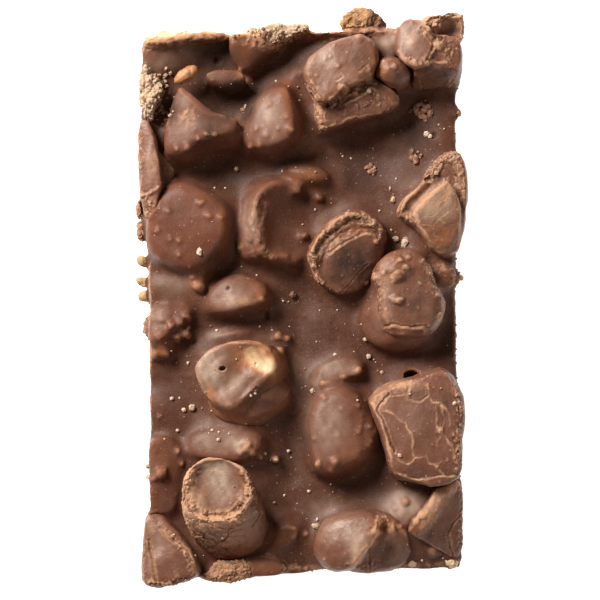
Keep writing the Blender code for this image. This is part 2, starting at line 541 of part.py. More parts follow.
def covered_lumps(crowd):
    """Pieces that the poured chocolate covers without a break, by rows from the far end."""
    def lump(corners, top, **shape):
        stone("lump", corners, top, collection=crowd, **shape)

    def bump(x, y, top, length=2.8, width=2.4, turn=0):
        """A grain under the coat; only its top stands out."""
        grain("lump", (x, y, top - 1.4), (length, width, 2.8), turn, 0, collection=crowd)

    # far left: the high far edge with the floor climbing to it, an angular lump hanging from it, a ledge
    # and a pointed piece
    lump(((-38.2, 64.0), (-30.0, 64.0), (-22.0, 65.0), (-17.0, 64.8), (-17.2, 62.0), (-25.0, 61.6),
          (-32.0, 60.8), (-38.4, 60.2)), 14.4, profile=UPRIGHT, lean=(0.0, -0.6))
    lump(((-38.2, 60.8), (-30.0, 61.2), (-22.0, 61.4), (-24.0, 56.6), (-31.0, 54.2), (-38.2, 55.0)), 10.6,
         profile=LOW, base=FLOOR - 0.6, slope=(-0.06, 0.26))
    lump(((-17.4, 64.6), (-17.4, 58.8), (-15.8, 55.6), (-12.8, 54.2), (-9.6, 57.6), (-4.6, 62.0),
          (-3.6, 64.0)), 13.6, profile=BLOCK, slope=(-0.16, 0.34), lean=(1.2, -1.0), crisp=True)
    lump(((-23.4, 54.4), (-20.4, 55.6), (-15.2, 55.4), (-12.6, 54.0), (-13.8, 52.2), (-17.4, 51.2),
          (-21.2, 51.8)), 13.4, profile=BLOCK, slope=(0.04, 0.10), lean=(0.6, -4.0), crisp=True)
    lump(((-29.0, 52.4, 0.2), (-25.2, 48.8, 0.6), (-20.6, 45.0), (-14.0, 43.2, -0.6), (-15.4, 39.8),
          (-20.4, 38.6, 0.6), (-24.6, 37.6, 0.6), (-28.2, 34.4), (-33.0, 35.0), (-32.8, 41.0),
          (-31.0, 46.8)),
         16.4, profile=BLOCK, slope=(0.16, -0.12), lean=(1.2, -4.6), crisp=True)
    lump(((-33.0, 42.0), (-26.0, 45.0), (-17.0, 40.0), (-20.0, 33.0), (-32.0, 33.0)), 10.4, profile=LOW,
         base=FLOOR - 0.6)
    # beside it: a domed piece whose crest runs down its right side
    lump(((-13.8, 41.0), (-10.8, 46.4), (-7.4, 49.6), (-3.8, 51.4, 0.8), (-2.0, 47.2, 1.0),
          (-0.8, 42.4, 0.6), (-1.6, 38.2), (-6.0, 35.8), (-10.6, 35.2), (-13.8, 36.8)),
         16.4, profile=CREST, slope=(0.12, -0.10), lean=(0.2, 0.2))
    # far edge towards the right, behind the big block
    lump(((-5.0, 64.8), (9.0, 65.4), (24.0, 65.4), (24.0, 63.6), (10.0, 63.4), (-4.0, 63.4)), 13.0,
         profile=UPRIGHT, lean=(0.0, -1.0))
    lump(((17.4, 64.0), (22.6, 64.0), (23.8, 60.6), (21.4, 58.4), (18.4, 59.4)), 12.4, profile=LOW,
         slope=(0.34, 0.0))
    lump(((-4.0, 55.0), (1.0, 58.0), (1.0, 50.0), (-3.0, 51.0)), 10.6, profile=LOW, base=FLOOR - 0.6)
    # right edge, below the corner piece: the floor climbs to the cut
    lump(((29.0, 46.0), (38.6, 46.0), (39.4, 38.0), (38.6, 33.0), (31.6, 34.0), (27.6, 39.6)), 9.7,
         slope=(0.16, -0.04), profile=LOW, base=FLOOR - 0.6)
    lump(((15.0, 29.0), (22.0, 33.0), (30.0, 36.0), (32.0, 31.0), (26.0, 22.6), (18.0, 20.0)), 9.2,
         slope=(0.10, -0.05), profile=LOW, base=FLOOR - 0.6)
    # left: the big round piece with a drop hanging from it
    lump(((-30.6, 28.4, -0.8), (-24.0, 26.8, -0.4), (-18.8, 23.8), (-16.4, 19.6), (-17.6, 13.8),
          (-21.4, 8.0), (-26.0, 6.4, -0.6), (-31.0, 7.6, -0.6), (-36.2, 11.2, -0.4), (-37.5, 16.0),
          (-36.0, 21.0), (-33.8, 25.8, -0.6)),
         16.8, profile=SLUMPED, slope=(0.05, -0.03), lean=(0.2, 0.0))
    lump(((-28.4, 7.6), (-26.8, 3.2), (-24.6, 1.2), (-22.6, 3.2), (-22.8, 7.6)), 12.6, profile=UPRIGHT)
    # middle: a piece whose left side is a high crest and whose top falls away to the right
    lump(((-6.6, 28.2, 0.6), (-10.6, 25.8, 1.2), (-11.9, 20.4, 1.4), (-11.6, 15.2, 1.4),
          (-9.6, 11.2, 1.0), (-4.6, 8.2, 0.4), (1.2, 8.8, -0.6), (2.6, 14.0, -2.4), (2.6, 20.0, -3.6),
          (1.0, 25.6, -3.0), (-2.6, 28.2, -0.8)),
         13.8, profile=((0.45, 0.82), (0.80, 0.88), (0.97, 1.0), (1.06, 0.84), (1.10, 0.46),
                        (1.22, 0.27), (1.34, 0.08)),
         slope=(-0.32, 0.0), lean=(-2.2, -0.4), dome=-0.6)
    lump(((-15.6, 15.0), (-14.6, 20.0), (-12.0, 23.0), (-10.0, 16.0), (-9.8, 9.2), (-14.2, 8.8)), 13.2,
         slope=(0.16, 0.0), profile=SLUMPED)
    grain("lump", (1.8, 30.0, 10.0), (11.4, 5.0, 5.4), -9, 0, collection=crowd)
    lump(((-4.6, 28.0), (-3.0, 32.6), (4.0, 32.6), (7.6, 28.6), (3.0, 25.6)), 10.0, profile=LOW,
         base=FLOOR - 0.6)
    bump(-1.0, 26.2, 12.6, 3.4, 3.0)
    bump(4.4, 24.4, 10.6, 3.4, 2.4, -20)
    lump(((7.0, 34.0), (11.4, 33.4), (12.0, 26.0), (8.6, 24.0), (6.4, 28.4)), 9.2, profile=LOW,
         base=FLOOR - 0.6)
    bump(0.8, 15.2, 12.4, 3.0, 2.6)
    # left of the middle: two low pieces, lit on top, with a crest along the near side
    lump(((-23.4, 0.6), (-20.4, 5.0), (-15.6, 6.8), (-10.6, 5.8), (-7.6, 2.8), (-8.4, -0.8, 0.6),
          (-13.0, -1.8, 1.0), (-18.0, -3.0, 0.8), (-22.6, -2.8)),
         13.4, profile=CREST, slope=(0.08, -0.18), lean=(0.2, -1.6))
    lump(((-37.8, -1.4), (-31.0, -0.4), (-25.2, -1.8), (-27.4, -5.0, 0.8), (-31.0, -7.8, 0.8),
          (-34.0, -9.6, 0.4), (-37.8, -11.2)),
         12.4, profile=CREST, slope=(0.12, -0.18), lean=(0.6, -1.2))
    lump(((-36.8, 6.6), (-27.0, 6.2), (-23.0, 1.6), (-25.0, -3.0), (-36.8, 0.0)), 10.4,
         profile=LOW, base=FLOOR - 0.6, slope=(0.06, -0.14))
    lump(((-37.0, -11.0), (-31.0, -10.0), (-29.6, -12.4), (-32.0, -14.4), (-37.0, -14.2)), 11.0,
         profile=SLUMPED)
    bump(-27.4, -8.0, 11.0, 3.8, 2.8, 30)
    bump(-30.2, -9.6, 11.0, 3.8, 2.6, 10)
    lump(((-22.0, -8.6), (-16.0, -6.8), (-11.0, -6.8), (-11.0, -9.0), (-21.0, -10.2)), 10.6,
         profile=LOW, base=FLOOR - 0.6)
    bump(-5.4, -8.8, 10.4, 3.2, 2.6)
    bump(-3.2, -9.6, 10.2, 2.8, 2.4)
    bump(-5.0, -12.6, 10.8, 2.6, 3.8, -20)
    # right: the foot of the tall piece, the fold between it and its neighbour, and a knob at the cut
    lump(((14.0, -1.6), (14.0, -6.8), (16.2, -10.4), (20.6, -12.8), (26.0, -12.6), (30.4, -9.6),
          (26.0, -3.0), (19.0, 1.0)), 12.6, profile=UPRIGHT, slope=(0.0, 0.10))
    lump(((14.2, 5.6), (17.6, 6.0), (18.4, -1.0), (14.8, -2.0)), 10.8, profile=LOW, base=FLOOR - 0.6,
         slope=(0.2, 0.0))
    lump(((24.0, 18.0), (27.6, 17.0), (31.4, 10.8), (29.4, 9.0), (25.2, 13.0)), 11.0,
         slope=(0.16, -0.10), profile=SLUMPED)
    lump(((31.4, 7.6), (34.4, 9.0), (37.1, 7.8), (37.0, 3.2), (34.0, 1.8), (31.6, 3.4)), 13.2,
         profile=UPRIGHT)
    # middle, near the cup: a low crest, and the big rounded piece below it
    lump(((2.6, -17.2), (7.0, -13.8), (12.6, -13.2), (15.6, -15.6), (13.8, -17.8, 0.6),
          (9.0, -20.0, 0.8), (4.6, -21.6, 0.6), (2.6, -20.2)),
         12.0, profile=CREST, slope=(0.06, -0.16), lean=(0.2, -0.8))
    lump(((2.0, -26.0), (5.2, -21.8), (10.4, -20.2), (14.8, -23.0), (16.0, -27.6), (19.0, -31.0),
          (18.2, -35.0, 0.3), (13.6, -38.8, 0.6), (8.6, -41.0, 0.4), (3.8, -41.8), (2.6, -37.0),
          (1.8, -31.0)),
         16.4, profile=SLUMPED, slope=(-0.03, -0.01), lean=(0.4, -0.2))
    bump(5.4, -23.2, 12.4, 3.2, 2.2, 4)
    # near the barrel: a lit lump beyond it, a darker block on the left cut, small grains between
    lump(((-27.2, -33.2), (-21.0, -30.6), (-14.0, -30.0), (-9.4, -31.6), (-9.2, -35.4, 0.4),
          (-12.2, -38.2, 0.4), (-16.0, -39.2), (-22.0, -38.4), (-27.4, -37.4)),
         13.0, profile=CREST, slope=(0.06, -0.12))
    lump(((-37.2, -32.8), (-31.0, -32.4), (-28.6, -34.8), (-27.6, -39.0), (-29.0, -44.0),
          (-29.6, -51.4), (-37.2, -52.2)),
         12.0, profile=BLOCK, slope=(-0.22, 0.0), crisp=True)
    grain("lump", (-33.6, -41.6, 11.6), (4.6, 4.8, 4.4), 0, 0, collection=crowd)
    bump(-29.0, -36.4, 12.0, 3.4, 2.6, -20)
    bump(-28.8, -39.4, 11.4, 2.6, 3.8)
    bump(-12.6, -35.4, 14.0, 4.6, 3.6, 20)
    bump(-9.6, -37.6, 10.4, 2.8, 2.0)
    bump(-6.4, -38.2, 10.2, 3.6, 2.2, -6)
    lump(((-7.8, -53.6), (-2.0, -51.8), (1.6, -53.6), (-0.6, -57.6), (-4.0, -60.8), (-8.4, -62.0)), 10.9,
         profile=LOW, base=FLOOR - 0.6, slope=(-0.06, 0.06))
    lump(((-14.8, -62.0), (-5.0, -61.8), (-2.8, -64.0), (-4.6, -66.4), (-14.0, -67.0)), 12.0,
         profile=UPRIGHT)
    # near right: the floor climbs to the two pieces at the near end
    lump(((19.6, -48.0), (26.8, -44.6), (32.0, -46.0), (30.4, -51.0), (26.0, -55.6), (22.0, -53.6)),
         11.4, profile=LOW, base=FLOOR - 0.6, slope=(0.14, -0.20))
    bump(25.0, -48.3, 12.2, 2.8, 2.4)
    bump(31.5, -60.0, 10.6, 3.6, 3.0)
    # broad swells in the poured layer
    lump(((-36.0, -20.0), (-28.0, -22.0), (-25.0, -30.0), (-36.0, -31.0)), 9.6, profile=LOW,
         base=FLOOR - 0.6)
    lump(((2.0, -2.0), (12.0, -3.0), (15.0, -10.0), (8.0, -14.0), (1.0, -10.0)), 9.2, profile=LOW,
         base=FLOOR - 0.6)
    lump(((-3.0, -43.0), (8.0, -44.0), (14.0, -47.0), (6.0, -51.0), (-3.0, -49.0)), 9.0, profile=LOW,
         base=FLOOR - 0.6)


def slab_lumps(crowd):
    prism("plate", -1.0, FLOOR + RIM_HEIGHT + 1.0, crowd, rimmed=True)
    collars(crowd)
    covered_lumps(crowd)


cut_sides = prism("cut_sides", -2.0, 40.0, cutters)
cut_sides.hide_render = True
cut_sides.display_type = "WIRE"
slab = fuse("chocolate_slab", slab_lumps, SLAB_VOXEL, 5, cut_sides)
thin_out(slab, 2 * SLAB_TRIANGLES)
flatten_underside(slab, 0.0)
for pocket_cutter in seated:
    cut(slab, pocket_cutter)
thin_out(slab, SLAB_TRIANGLES)
slab.data.materials.clear()
slab.data.materials.append(POURED)

for item in parts.objects:
    item.data.shade_smooth()
    item.data.set_sharp_from_angle(angle=math.radians(50))
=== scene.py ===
"""Rocky road: the looks of one cut slab of milk chocolate with coated marshmallow lumps in it.

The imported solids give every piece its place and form. Lengths below are in millimetres, seen from
above: X to the right, Y to the far end, Z up from the flat underside.
"""
import math

import bpy
import numpy as np
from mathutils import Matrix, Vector
from mathutils.bvhtree import BVHTree


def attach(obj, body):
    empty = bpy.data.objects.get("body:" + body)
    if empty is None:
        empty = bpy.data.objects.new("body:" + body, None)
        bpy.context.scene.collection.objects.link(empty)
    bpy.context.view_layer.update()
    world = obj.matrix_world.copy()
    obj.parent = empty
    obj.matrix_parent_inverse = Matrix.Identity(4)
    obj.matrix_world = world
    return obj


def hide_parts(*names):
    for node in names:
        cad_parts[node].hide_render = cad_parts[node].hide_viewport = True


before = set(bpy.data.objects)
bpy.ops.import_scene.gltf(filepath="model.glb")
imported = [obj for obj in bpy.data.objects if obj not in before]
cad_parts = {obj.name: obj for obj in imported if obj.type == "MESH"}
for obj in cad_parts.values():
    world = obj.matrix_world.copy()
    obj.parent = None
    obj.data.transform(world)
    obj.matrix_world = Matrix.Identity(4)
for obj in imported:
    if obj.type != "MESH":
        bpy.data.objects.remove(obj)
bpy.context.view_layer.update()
MM = 0.001

# ---------------------------------------------------------------- the table, the light and the camera
# The slab lies on a plain table that shines white. One soft lamp stands low to the far left, a weak
# one opposite opens the shadows, and the camera looks straight down from a little over half a metre.
# This section is in metres.
CAMERA_HEIGHT = 0.589
CAMERA_X = -0.00024           # the slab's middle in the picture
FIELD = 0.144                 # across the picture, at the level of the lumps
LUMP_LEVEL = 0.009
TABLE_WIDTH = 3.0
TABLE_DROP = 0.0002           # the table lies this little below the underside
TABLE_WHITE = (0.90, 0.90, 0.90, 1.0)
SKY_TINT = (1.0, 0.85, 0.73, 1.0)
SKY_POWER = 0.130

bpy.ops.object.camera_add(location=(CAMERA_X, 0.0, CAMERA_HEIGHT))
camera = bpy.context.object
camera.data.lens = camera.data.sensor_width * (CAMERA_HEIGHT - LUMP_LEVEL) / FIELD
bpy.context.scene.camera = camera


def lamp(name, place, size, power, colour):
    """A square soft lamp that faces the slab."""
    bpy.ops.object.light_add(type="AREA", location=place)
    made = bpy.context.object
    made.name = name
    made.data.size = size
    made.data.energy = power
    made.data.color = colour
    made.rotation_euler = Vector(place).to_track_quat("Z", "Y").to_euler()


lamp("key", (-0.42, 0.43, 0.44), 0.30, 12.4, (1.0, 0.955, 0.905))
lamp("fill", (0.45, -0.45, 0.40), 0.50, 1.4, (1.0, 0.86, 0.74))

sky = bpy.data.worlds.new("sky")
sky.use_nodes = True
sky.node_tree.nodes["Background"].inputs["Color"].default_value = SKY_TINT
sky.node_tree.nodes["Background"].inputs["Strength"].default_value = SKY_POWER
bpy.context.scene.world = sky
bpy.context.scene.view_settings.view_transform = "Standard"

bpy.ops.mesh.primitive_plane_add(size=TABLE_WIDTH, location=(0.0, 0.0, -TABLE_DROP))
table = bpy.context.object
table.name = "table"
white = bpy.data.materials.new("table_white")
white.use_nodes = True
surface = white.node_tree.nodes["Principled BSDF"]
surface.inputs["Base Color"].default_value = TABLE_WHITE
surface.inputs["Roughness"].default_value = 0.9
surface.inputs["Emission Color"].default_value = (1.0, 1.0, 1.0, 1.0)
surface.inputs["Emission Strength"].default_value = 1.0
table.data.materials.append(white)

# ---------------------------------------------------------------- the chocolate's finish
# Milk chocolate set in the open: red-brown, satin, with a faint grey bloom, fine pores and dust of
# biscuit. Where it is rubbed or broken it turns a dry tan. Painted light is laid into its colour too:
# painted shade low down, in creases and in marked spots, painted sheen in marked spots, and a painted
# glow of light through thin chocolate on sharp edges, beside a redder tone in marked spots.
# the darkest tone: random mottling, and painted shade in creases and marked spots
DEEP_TONE_AND_SHADE = (0.052, 0.0245, 0.0170)
# the level chocolate's colour, darker than the lumps as painted shade
FLAT_IN_SHADE = (0.072, 0.0265, 0.0155)
MILK = (0.132, 0.0460, 0.0260)
# a redder tone, also used as a painted glow of light through thin chocolate
RED_TONE_AND_GLOW = (0.260, 0.100, 0.044)
# a pale grey: the chocolate's bloom, and painted sheen
BLOOM_AND_SHEEN = (0.385, 0.272, 0.206)
TAN = (0.400, 0.208, 0.122)
AMBER = (0.460, 0.198, 0.086)
CREAM = (0.620, 0.460, 0.270)
DUST = (0.620, 0.460, 0.330)


def put(tree, kind, inputs=None, **settings):
    """Add a node; each input takes a value or another node's output."""
    made = tree.nodes.new(kind)
    for name, value in settings.items():
        setattr(made, name, value)
    for key, value in (inputs or {}).items():
        if isinstance(value, bpy.types.NodeSocket):
            tree.links.new(value, made.inputs[key])
        else:
            made.inputs[key].default_value = value
    return made


def blend_colour(tree, share, first, second):
    """Mix two colours; a tuple is a colour of its own."""
    first, second = [(*c, 1.0) if isinstance(c, tuple) else c for c in (first, second)]
    return put(tree, "ShaderNodeMix", {0: share, 6: first, 7: second}, data_type="RGBA").outputs[2]


def spread(tree, value, low, high, to_low=0.0, to_high=1.0):
    """Stretch a value's range and clamp it."""
    return put(tree, "ShaderNodeMapRange", {0: value, 1: low, 2: high, 3: to_low, 4: to_high}).outputs[0]


def sums(tree, operation, first, second):
    """Add or multiply two values, or take the larger one."""
    return put(tree, "ShaderNodeMath", {0: first, 1: second}, operation=operation).outputs[0]


def new_group(name, ins, outs):
    """An empty node group with named sockets."""
    group = bpy.data.node_groups.new(name, "ShaderNodeTree")
    for label, kind, value in ins:
        made = group.interface.new_socket(label, in_out="INPUT", socket_type=kind)
        made.default_value = value
    for label, kind in outs:
        group.interface.new_socket(label, in_out="OUTPUT", socket_type=kind)
    return group, group.nodes.new("NodeGroupInput"), group.nodes.new("NodeGroupOutput")


def noise(tree, place, size, detail=3.0):
    """Noise with features of about the given size in millimetres."""
    return put(tree, "ShaderNodeTexNoise", {"Vector": place, "Scale": 1.0 / (size * MM),
                                            "Detail": detail, "Roughness": 0.55}).outputs[0]


def mark(tree, name):
    """What the mesh itself says about a place: how worn, pale or dark it is, or how it bends."""
    return put(tree, "ShaderNodeAttribute", attribute_name=name).outputs["Fac"]


skin, given, out = new_group(
    "chocolate_skin",
    (("Raised", "NodeSocketColor", (*MILK, 1.0)), ("Flat in shade", "NodeSocketColor", (*FLAT_IN_SHADE, 1.0)),
     ("Worn", "NodeSocketColor", (*TAN, 1.0)), ("Bloom", "NodeSocketFloat", 0.5),
     ("Edge wear", "NodeSocketFloat", 0.6), ("Dust", "NodeSocketFloat", 0.5)),
    (("Colour", "NodeSocketColor"), ("Roughness", "NodeSocketFloat"), ("Height", "NodeSocketFloat")))
place = put(skin, "ShaderNodeTexCoord").outputs["Object"]
level = put(skin, "ShaderNodeSeparateXYZ", {0: place}).outputs[2]
bend = mark(skin, "edge")
broad = noise(skin, place, 9.0)
cloudy = noise(skin, place, 2.6, 4.0)
fine = noise(skin, place, 0.55)
# darker low down: painted shade on the level chocolate between the lumps
tone = blend_colour(skin, spread(skin, level, 8.0 * MM, 14.0 * MM), given.outputs["Flat in shade"],
                    given.outputs["Raised"])
tone = blend_colour(skin, spread(skin, broad, 0.40, 0.75, 0.0, 0.30), tone, DEEP_TONE_AND_SHADE)
# grey bloom where the noise says, and painted sheen in marked spots where the light falls
haze = sums(skin, "MULTIPLY", spread(skin, cloudy, 0.40, 0.75), given.outputs["Bloom"])
tone = blend_colour(skin, sums(skin, "ADD", haze, mark(skin, "bloom_and_sheen")), tone, BLOOM_AND_SHEEN)
# redder on sharp edges, a painted glow of light through thin chocolate, and in marked spots
edge_glow = sums(skin, "MAXIMUM", spread(skin, bend, 0.06, 0.40, 0.0, 0.50), mark(skin, "red_tone_and_glow"))
tone = blend_colour(skin, edge_glow, tone, RED_TONE_AND_GLOW)
# darker in creases, where shade falls, and in marked spots: painted shade
hollow = spread(skin, bend, -0.08, -0.60, 0.0, 0.70)
tone = blend_colour(skin, sums(skin, "MAXIMUM", hollow, mark(skin, "painted_shade")), tone, DEEP_TONE_AND_SHADE)
rubbed = sums(skin, "MULTIPLY", spread(skin, bend, 0.15, 0.85), given.outputs["Edge wear"])
rubbed = sums(skin, "MULTIPLY", rubbed, spread(skin, cloudy, 0.35, 0.60, 0.25, 1.2))
rubbed = sums(skin, "ADD", rubbed, mark(skin, "wear"))
ragged = sums(skin, "MULTIPLY", rubbed, spread(skin, fine, 0.25, 0.60, 0.45, 1.15))
mask = spread(skin, ragged, 0.08, 0.90)
tone = blend_colour(skin, mask, tone, given.outputs["Worn"])
tone = blend_colour(skin, spread(skin, mark(skin, "pale"), 0.0, 0.55), tone, AMBER)
tone = blend_colour(skin, spread(skin, mark(skin, "pale"), 0.30, 0.95), tone, CREAM)
cells = put(skin, "ShaderNodeTexVoronoi", {"Vector": place, "Scale": 1.0 / (1.15 * MM)})
spot = spread(skin, cells.outputs["Distance"], 0.16, 0.09)
chosen = put(skin, "ShaderNodeSeparateColor", {0: cells.outputs["Color"]}).outputs[0]
spot = sums(skin, "MULTIPLY", spot, spread(skin, chosen, 0.70, 0.95))
spot = sums(skin, "MULTIPLY", spot, given.outputs["Dust"])
tone = blend_colour(skin, spot, tone, DUST)
pore = noise(skin, place, 0.28, 2.0)
sand = sums(skin, "MULTIPLY", spread(skin, pore, 0.56, 0.72, 0.0, 0.15),
            spread(skin, broad, 0.35, 0.65, 0.3, 1.0))
tone = blend_colour(skin, sand, tone, DUST)
rough = spread(skin, level, 8.0 * MM, 13.0 * MM, 0.42, 0.37)
rough = sums(skin, "ADD", rough, spread(skin, cloudy, 0.3, 0.7, 0.0, 0.08))
rough = sums(skin, "ADD", rough, sums(skin, "MULTIPLY", mask, 0.25))
rough = sums(skin, "ADD", rough, sums(skin, "MULTIPLY", mark(skin, "painted_shade"), 0.30))
height = sums(skin, "ADD", sums(skin, "MULTIPLY", fine, 0.5), sums(skin, "MULTIPLY", pore, 0.35))
height = sums(skin, "ADD", height, sums(skin, "MULTIPLY", spot, 0.3))
skin.links.new(tone, out.inputs["Colour"])
skin.links.new(rough, out.inputs["Roughness"])
skin.links.new(height, out.inputs["Height"])


def chocolate(name, raised, flat, worn_colour, bloom_and_sheen, edge_wear, dust, relief, shine):
    """A chocolate finish from the shared skin."""
    material = bpy.data.materials.new(name)
    material.use_nodes = True
    tree = material.node_tree
    shader = tree.nodes["Principled BSDF"]
    surface = put(tree, "ShaderNodeGroup", node_tree=skin)
    for label, value in (("Raised", (*raised, 1.0)), ("Flat in shade", (*flat, 1.0)), ("Worn", (*worn_colour, 1.0)),
                         ("Bloom", bloom_and_sheen), ("Edge wear", edge_wear), ("Dust", dust)):
        surface.inputs[label].default_value = value
    bump = put(tree, "ShaderNodeBump", {"Height": surface.outputs["Height"], "Strength": relief,
                                        "Distance": 0.25 * MM})
    tree.links.new(surface.outputs["Colour"], shader.inputs["Base Color"])
    tree.links.new(surface.outputs["Roughness"], shader.inputs["Roughness"])
    tree.links.new(bump.outputs[0], shader.inputs["Normal"])
    shader.inputs["Specular IOR Level"].default_value = shine
    return material


POURED = chocolate("poured_chocolate", MILK, FLAT_IN_SHADE, TAN, 0.08, 0.60, 0.45, 0.50, 0.15)
SHELL = chocolate("shell_chocolate", (0.158, 0.060, 0.034), (0.092, 0.035, 0.021), (0.430, 0.236, 0.138),
                  0.12, 0.85, 0.5, 0.70, 0.34)

# ---------------------------------------------------------------- the poured slab
# Chocolate poured over marshmallow and puffed grains in a tray, left to set and cut with a knife. It
# closes round every piece that stands in it, and the grains under it show as small bumps.
SLAB_FACET = 0.485
CLOSING = 0.55                # how far the poured chocolate reaches into the gap round a piece
NEAR = 0.9                    # the slab holds a piece where the piece's wall is nearer than this
UNDERSIDE = 0.35              # what lies lower than this belongs to the level underside
FACES_UP = 0.05               # a normal's Z, above which the chocolate could run
CUT_SIDE = 5.0                # nothing below this height ran, as the cut sides are clean
CLOSED_TO = 10.5              # it closes the gap up to this height, and round four pieces higher
HIGHER = {"chunk_middle_right": 15.0, "chunk_top_right": 13.0, "chunk_ball": 12.5, "chunk_bottom": 12.0}


def choose(item):
    """Select one object alone and make it the active one."""
    bpy.ops.object.select_all(action="DESELECT")
    item.select_set(True)
    bpy.context.view_layer.objects.active = item


def apply(item, kind, **settings):
    """Add a modifier and apply it."""
    choose(item)
    modifier = item.modifiers.new(kind.lower(), kind)
    for name, value in settings.items():
        setattr(modifier, name, value)
    bpy.ops.object.modifier_apply(modifier=modifier.name)


def even_out(item, facet, rounds):
    """Rebuild the mesh in small, even facets and round it off a little."""
    apply(item, "REMESH", mode="VOXEL", voxel_size=facet * MM)
    apply(item, "SMOOTH", factor=0.5, iterations=rounds)


def copy_of(node, name):
    """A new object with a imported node's mesh, its loose triangles merged."""
    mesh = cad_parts[node].data.copy()
    item = bpy.data.objects.new(name, mesh)
    bpy.context.scene.collection.objects.link(item)
    mesh.materials.clear()
    choose(item)
    bpy.ops.object.mode_set(mode="EDIT")
    bpy.ops.mesh.select_all(action="SELECT")
    bpy.ops.mesh.remove_doubles(threshold=0.00001)
    bpy.ops.object.mode_set(mode="OBJECT")
    return item


def points(item):
    """Every point's place in millimetres, and its normal."""
    count = len(item.data.vertices)
    co = np.empty(count * 3, np.float32)
    no = np.empty(count * 3, np.float32)
    item.data.vertices.foreach_get("co", co)
    item.data.vertices.foreach_get("normal", no)
    return co.reshape(-1, 3) / MM, no.reshape(-1, 3)


def move(item, co):
    """Put every point at its new place, in millimetres."""
    item.data.vertices.foreach_set("co", (co * MM).astype(np.float32).ravel())
    item.data.update()


def tree_of(item):
    """For finding the nearest place on an object and what lies under a point."""
    item.data.calc_loop_triangles()
    corners = [tuple(v.co) for v in item.data.vertices]
    return BVHTree.FromPolygons(corners, [tuple(t.vertices) for t in item.data.loop_triangles])


def ripple(co, size, seed):
    """A smooth uneven value from -1 to 1 at each point, with swells of about the given size."""
    draw = np.random.default_rng(seed)
    ways = draw.normal(size=(14, 3))
    ways /= np.linalg.norm(ways, axis=1)[:, None]
    ways *= (2 * math.pi / (size * draw.uniform(0.7, 1.6, (14, 1))))
    return np.sin(co @ ways.T + draw.uniform(0, 2 * math.pi, 14)).sum(axis=1) / 5.0


def grains(co, size, seed):
    """Packed grains of about the given size: how far inside its grain a point is, from 0 at the gap to
    1 at the middle, and a random number for each grain."""
    home = np.floor(co / size)
    turn = np.random.default_rng(seed).uniform(10, 90, (3, 3))
    first = np.full(len(co), 9.0)
    second = first.copy()
    number = np.zeros(len(co))
    for shift in np.ndindex(3, 3, 3):
        cell = home + np.array(shift) - 1
        mixed = (np.sin(cell @ turn) * 9973.0) % 1.0
        gap = np.linalg.norm(co / size - cell - mixed, axis=1)
        closer = gap < first
        second = np.where(closer, first, np.minimum(second, gap))
        number = np.where(closer, (mixed[:, 0] * 37.0) % 1.0, number)
        first = np.where(closer, gap, first)
    return np.clip((second - first) / 0.45, 0, 1), number


def beside(x, y, path):
    """How far each point is from a path in plan; left of it is positive, right of it negative."""
    nearest = np.full(len(x), 1e9)
    side = np.ones(len(x))
    for (ax, ay), (bx, by) in zip(path, path[1:]):
        dx, dy = bx - ax, by - ay
        along = np.clip(((x - ax) * dx + (y - ay) * dy) / (dx * dx + dy * dy), 0, 1)
        off_x, off_y = x - ax - along * dx, y - ay - along * dy
        gap = np.hypot(off_x, off_y)
        closer = gap < nearest
        nearest[closer] = gap[closer]
        side[closer] = np.where(dx * off_y - dy * off_x >= 0, 1.0, -1.0)[closer]
    return nearest * side


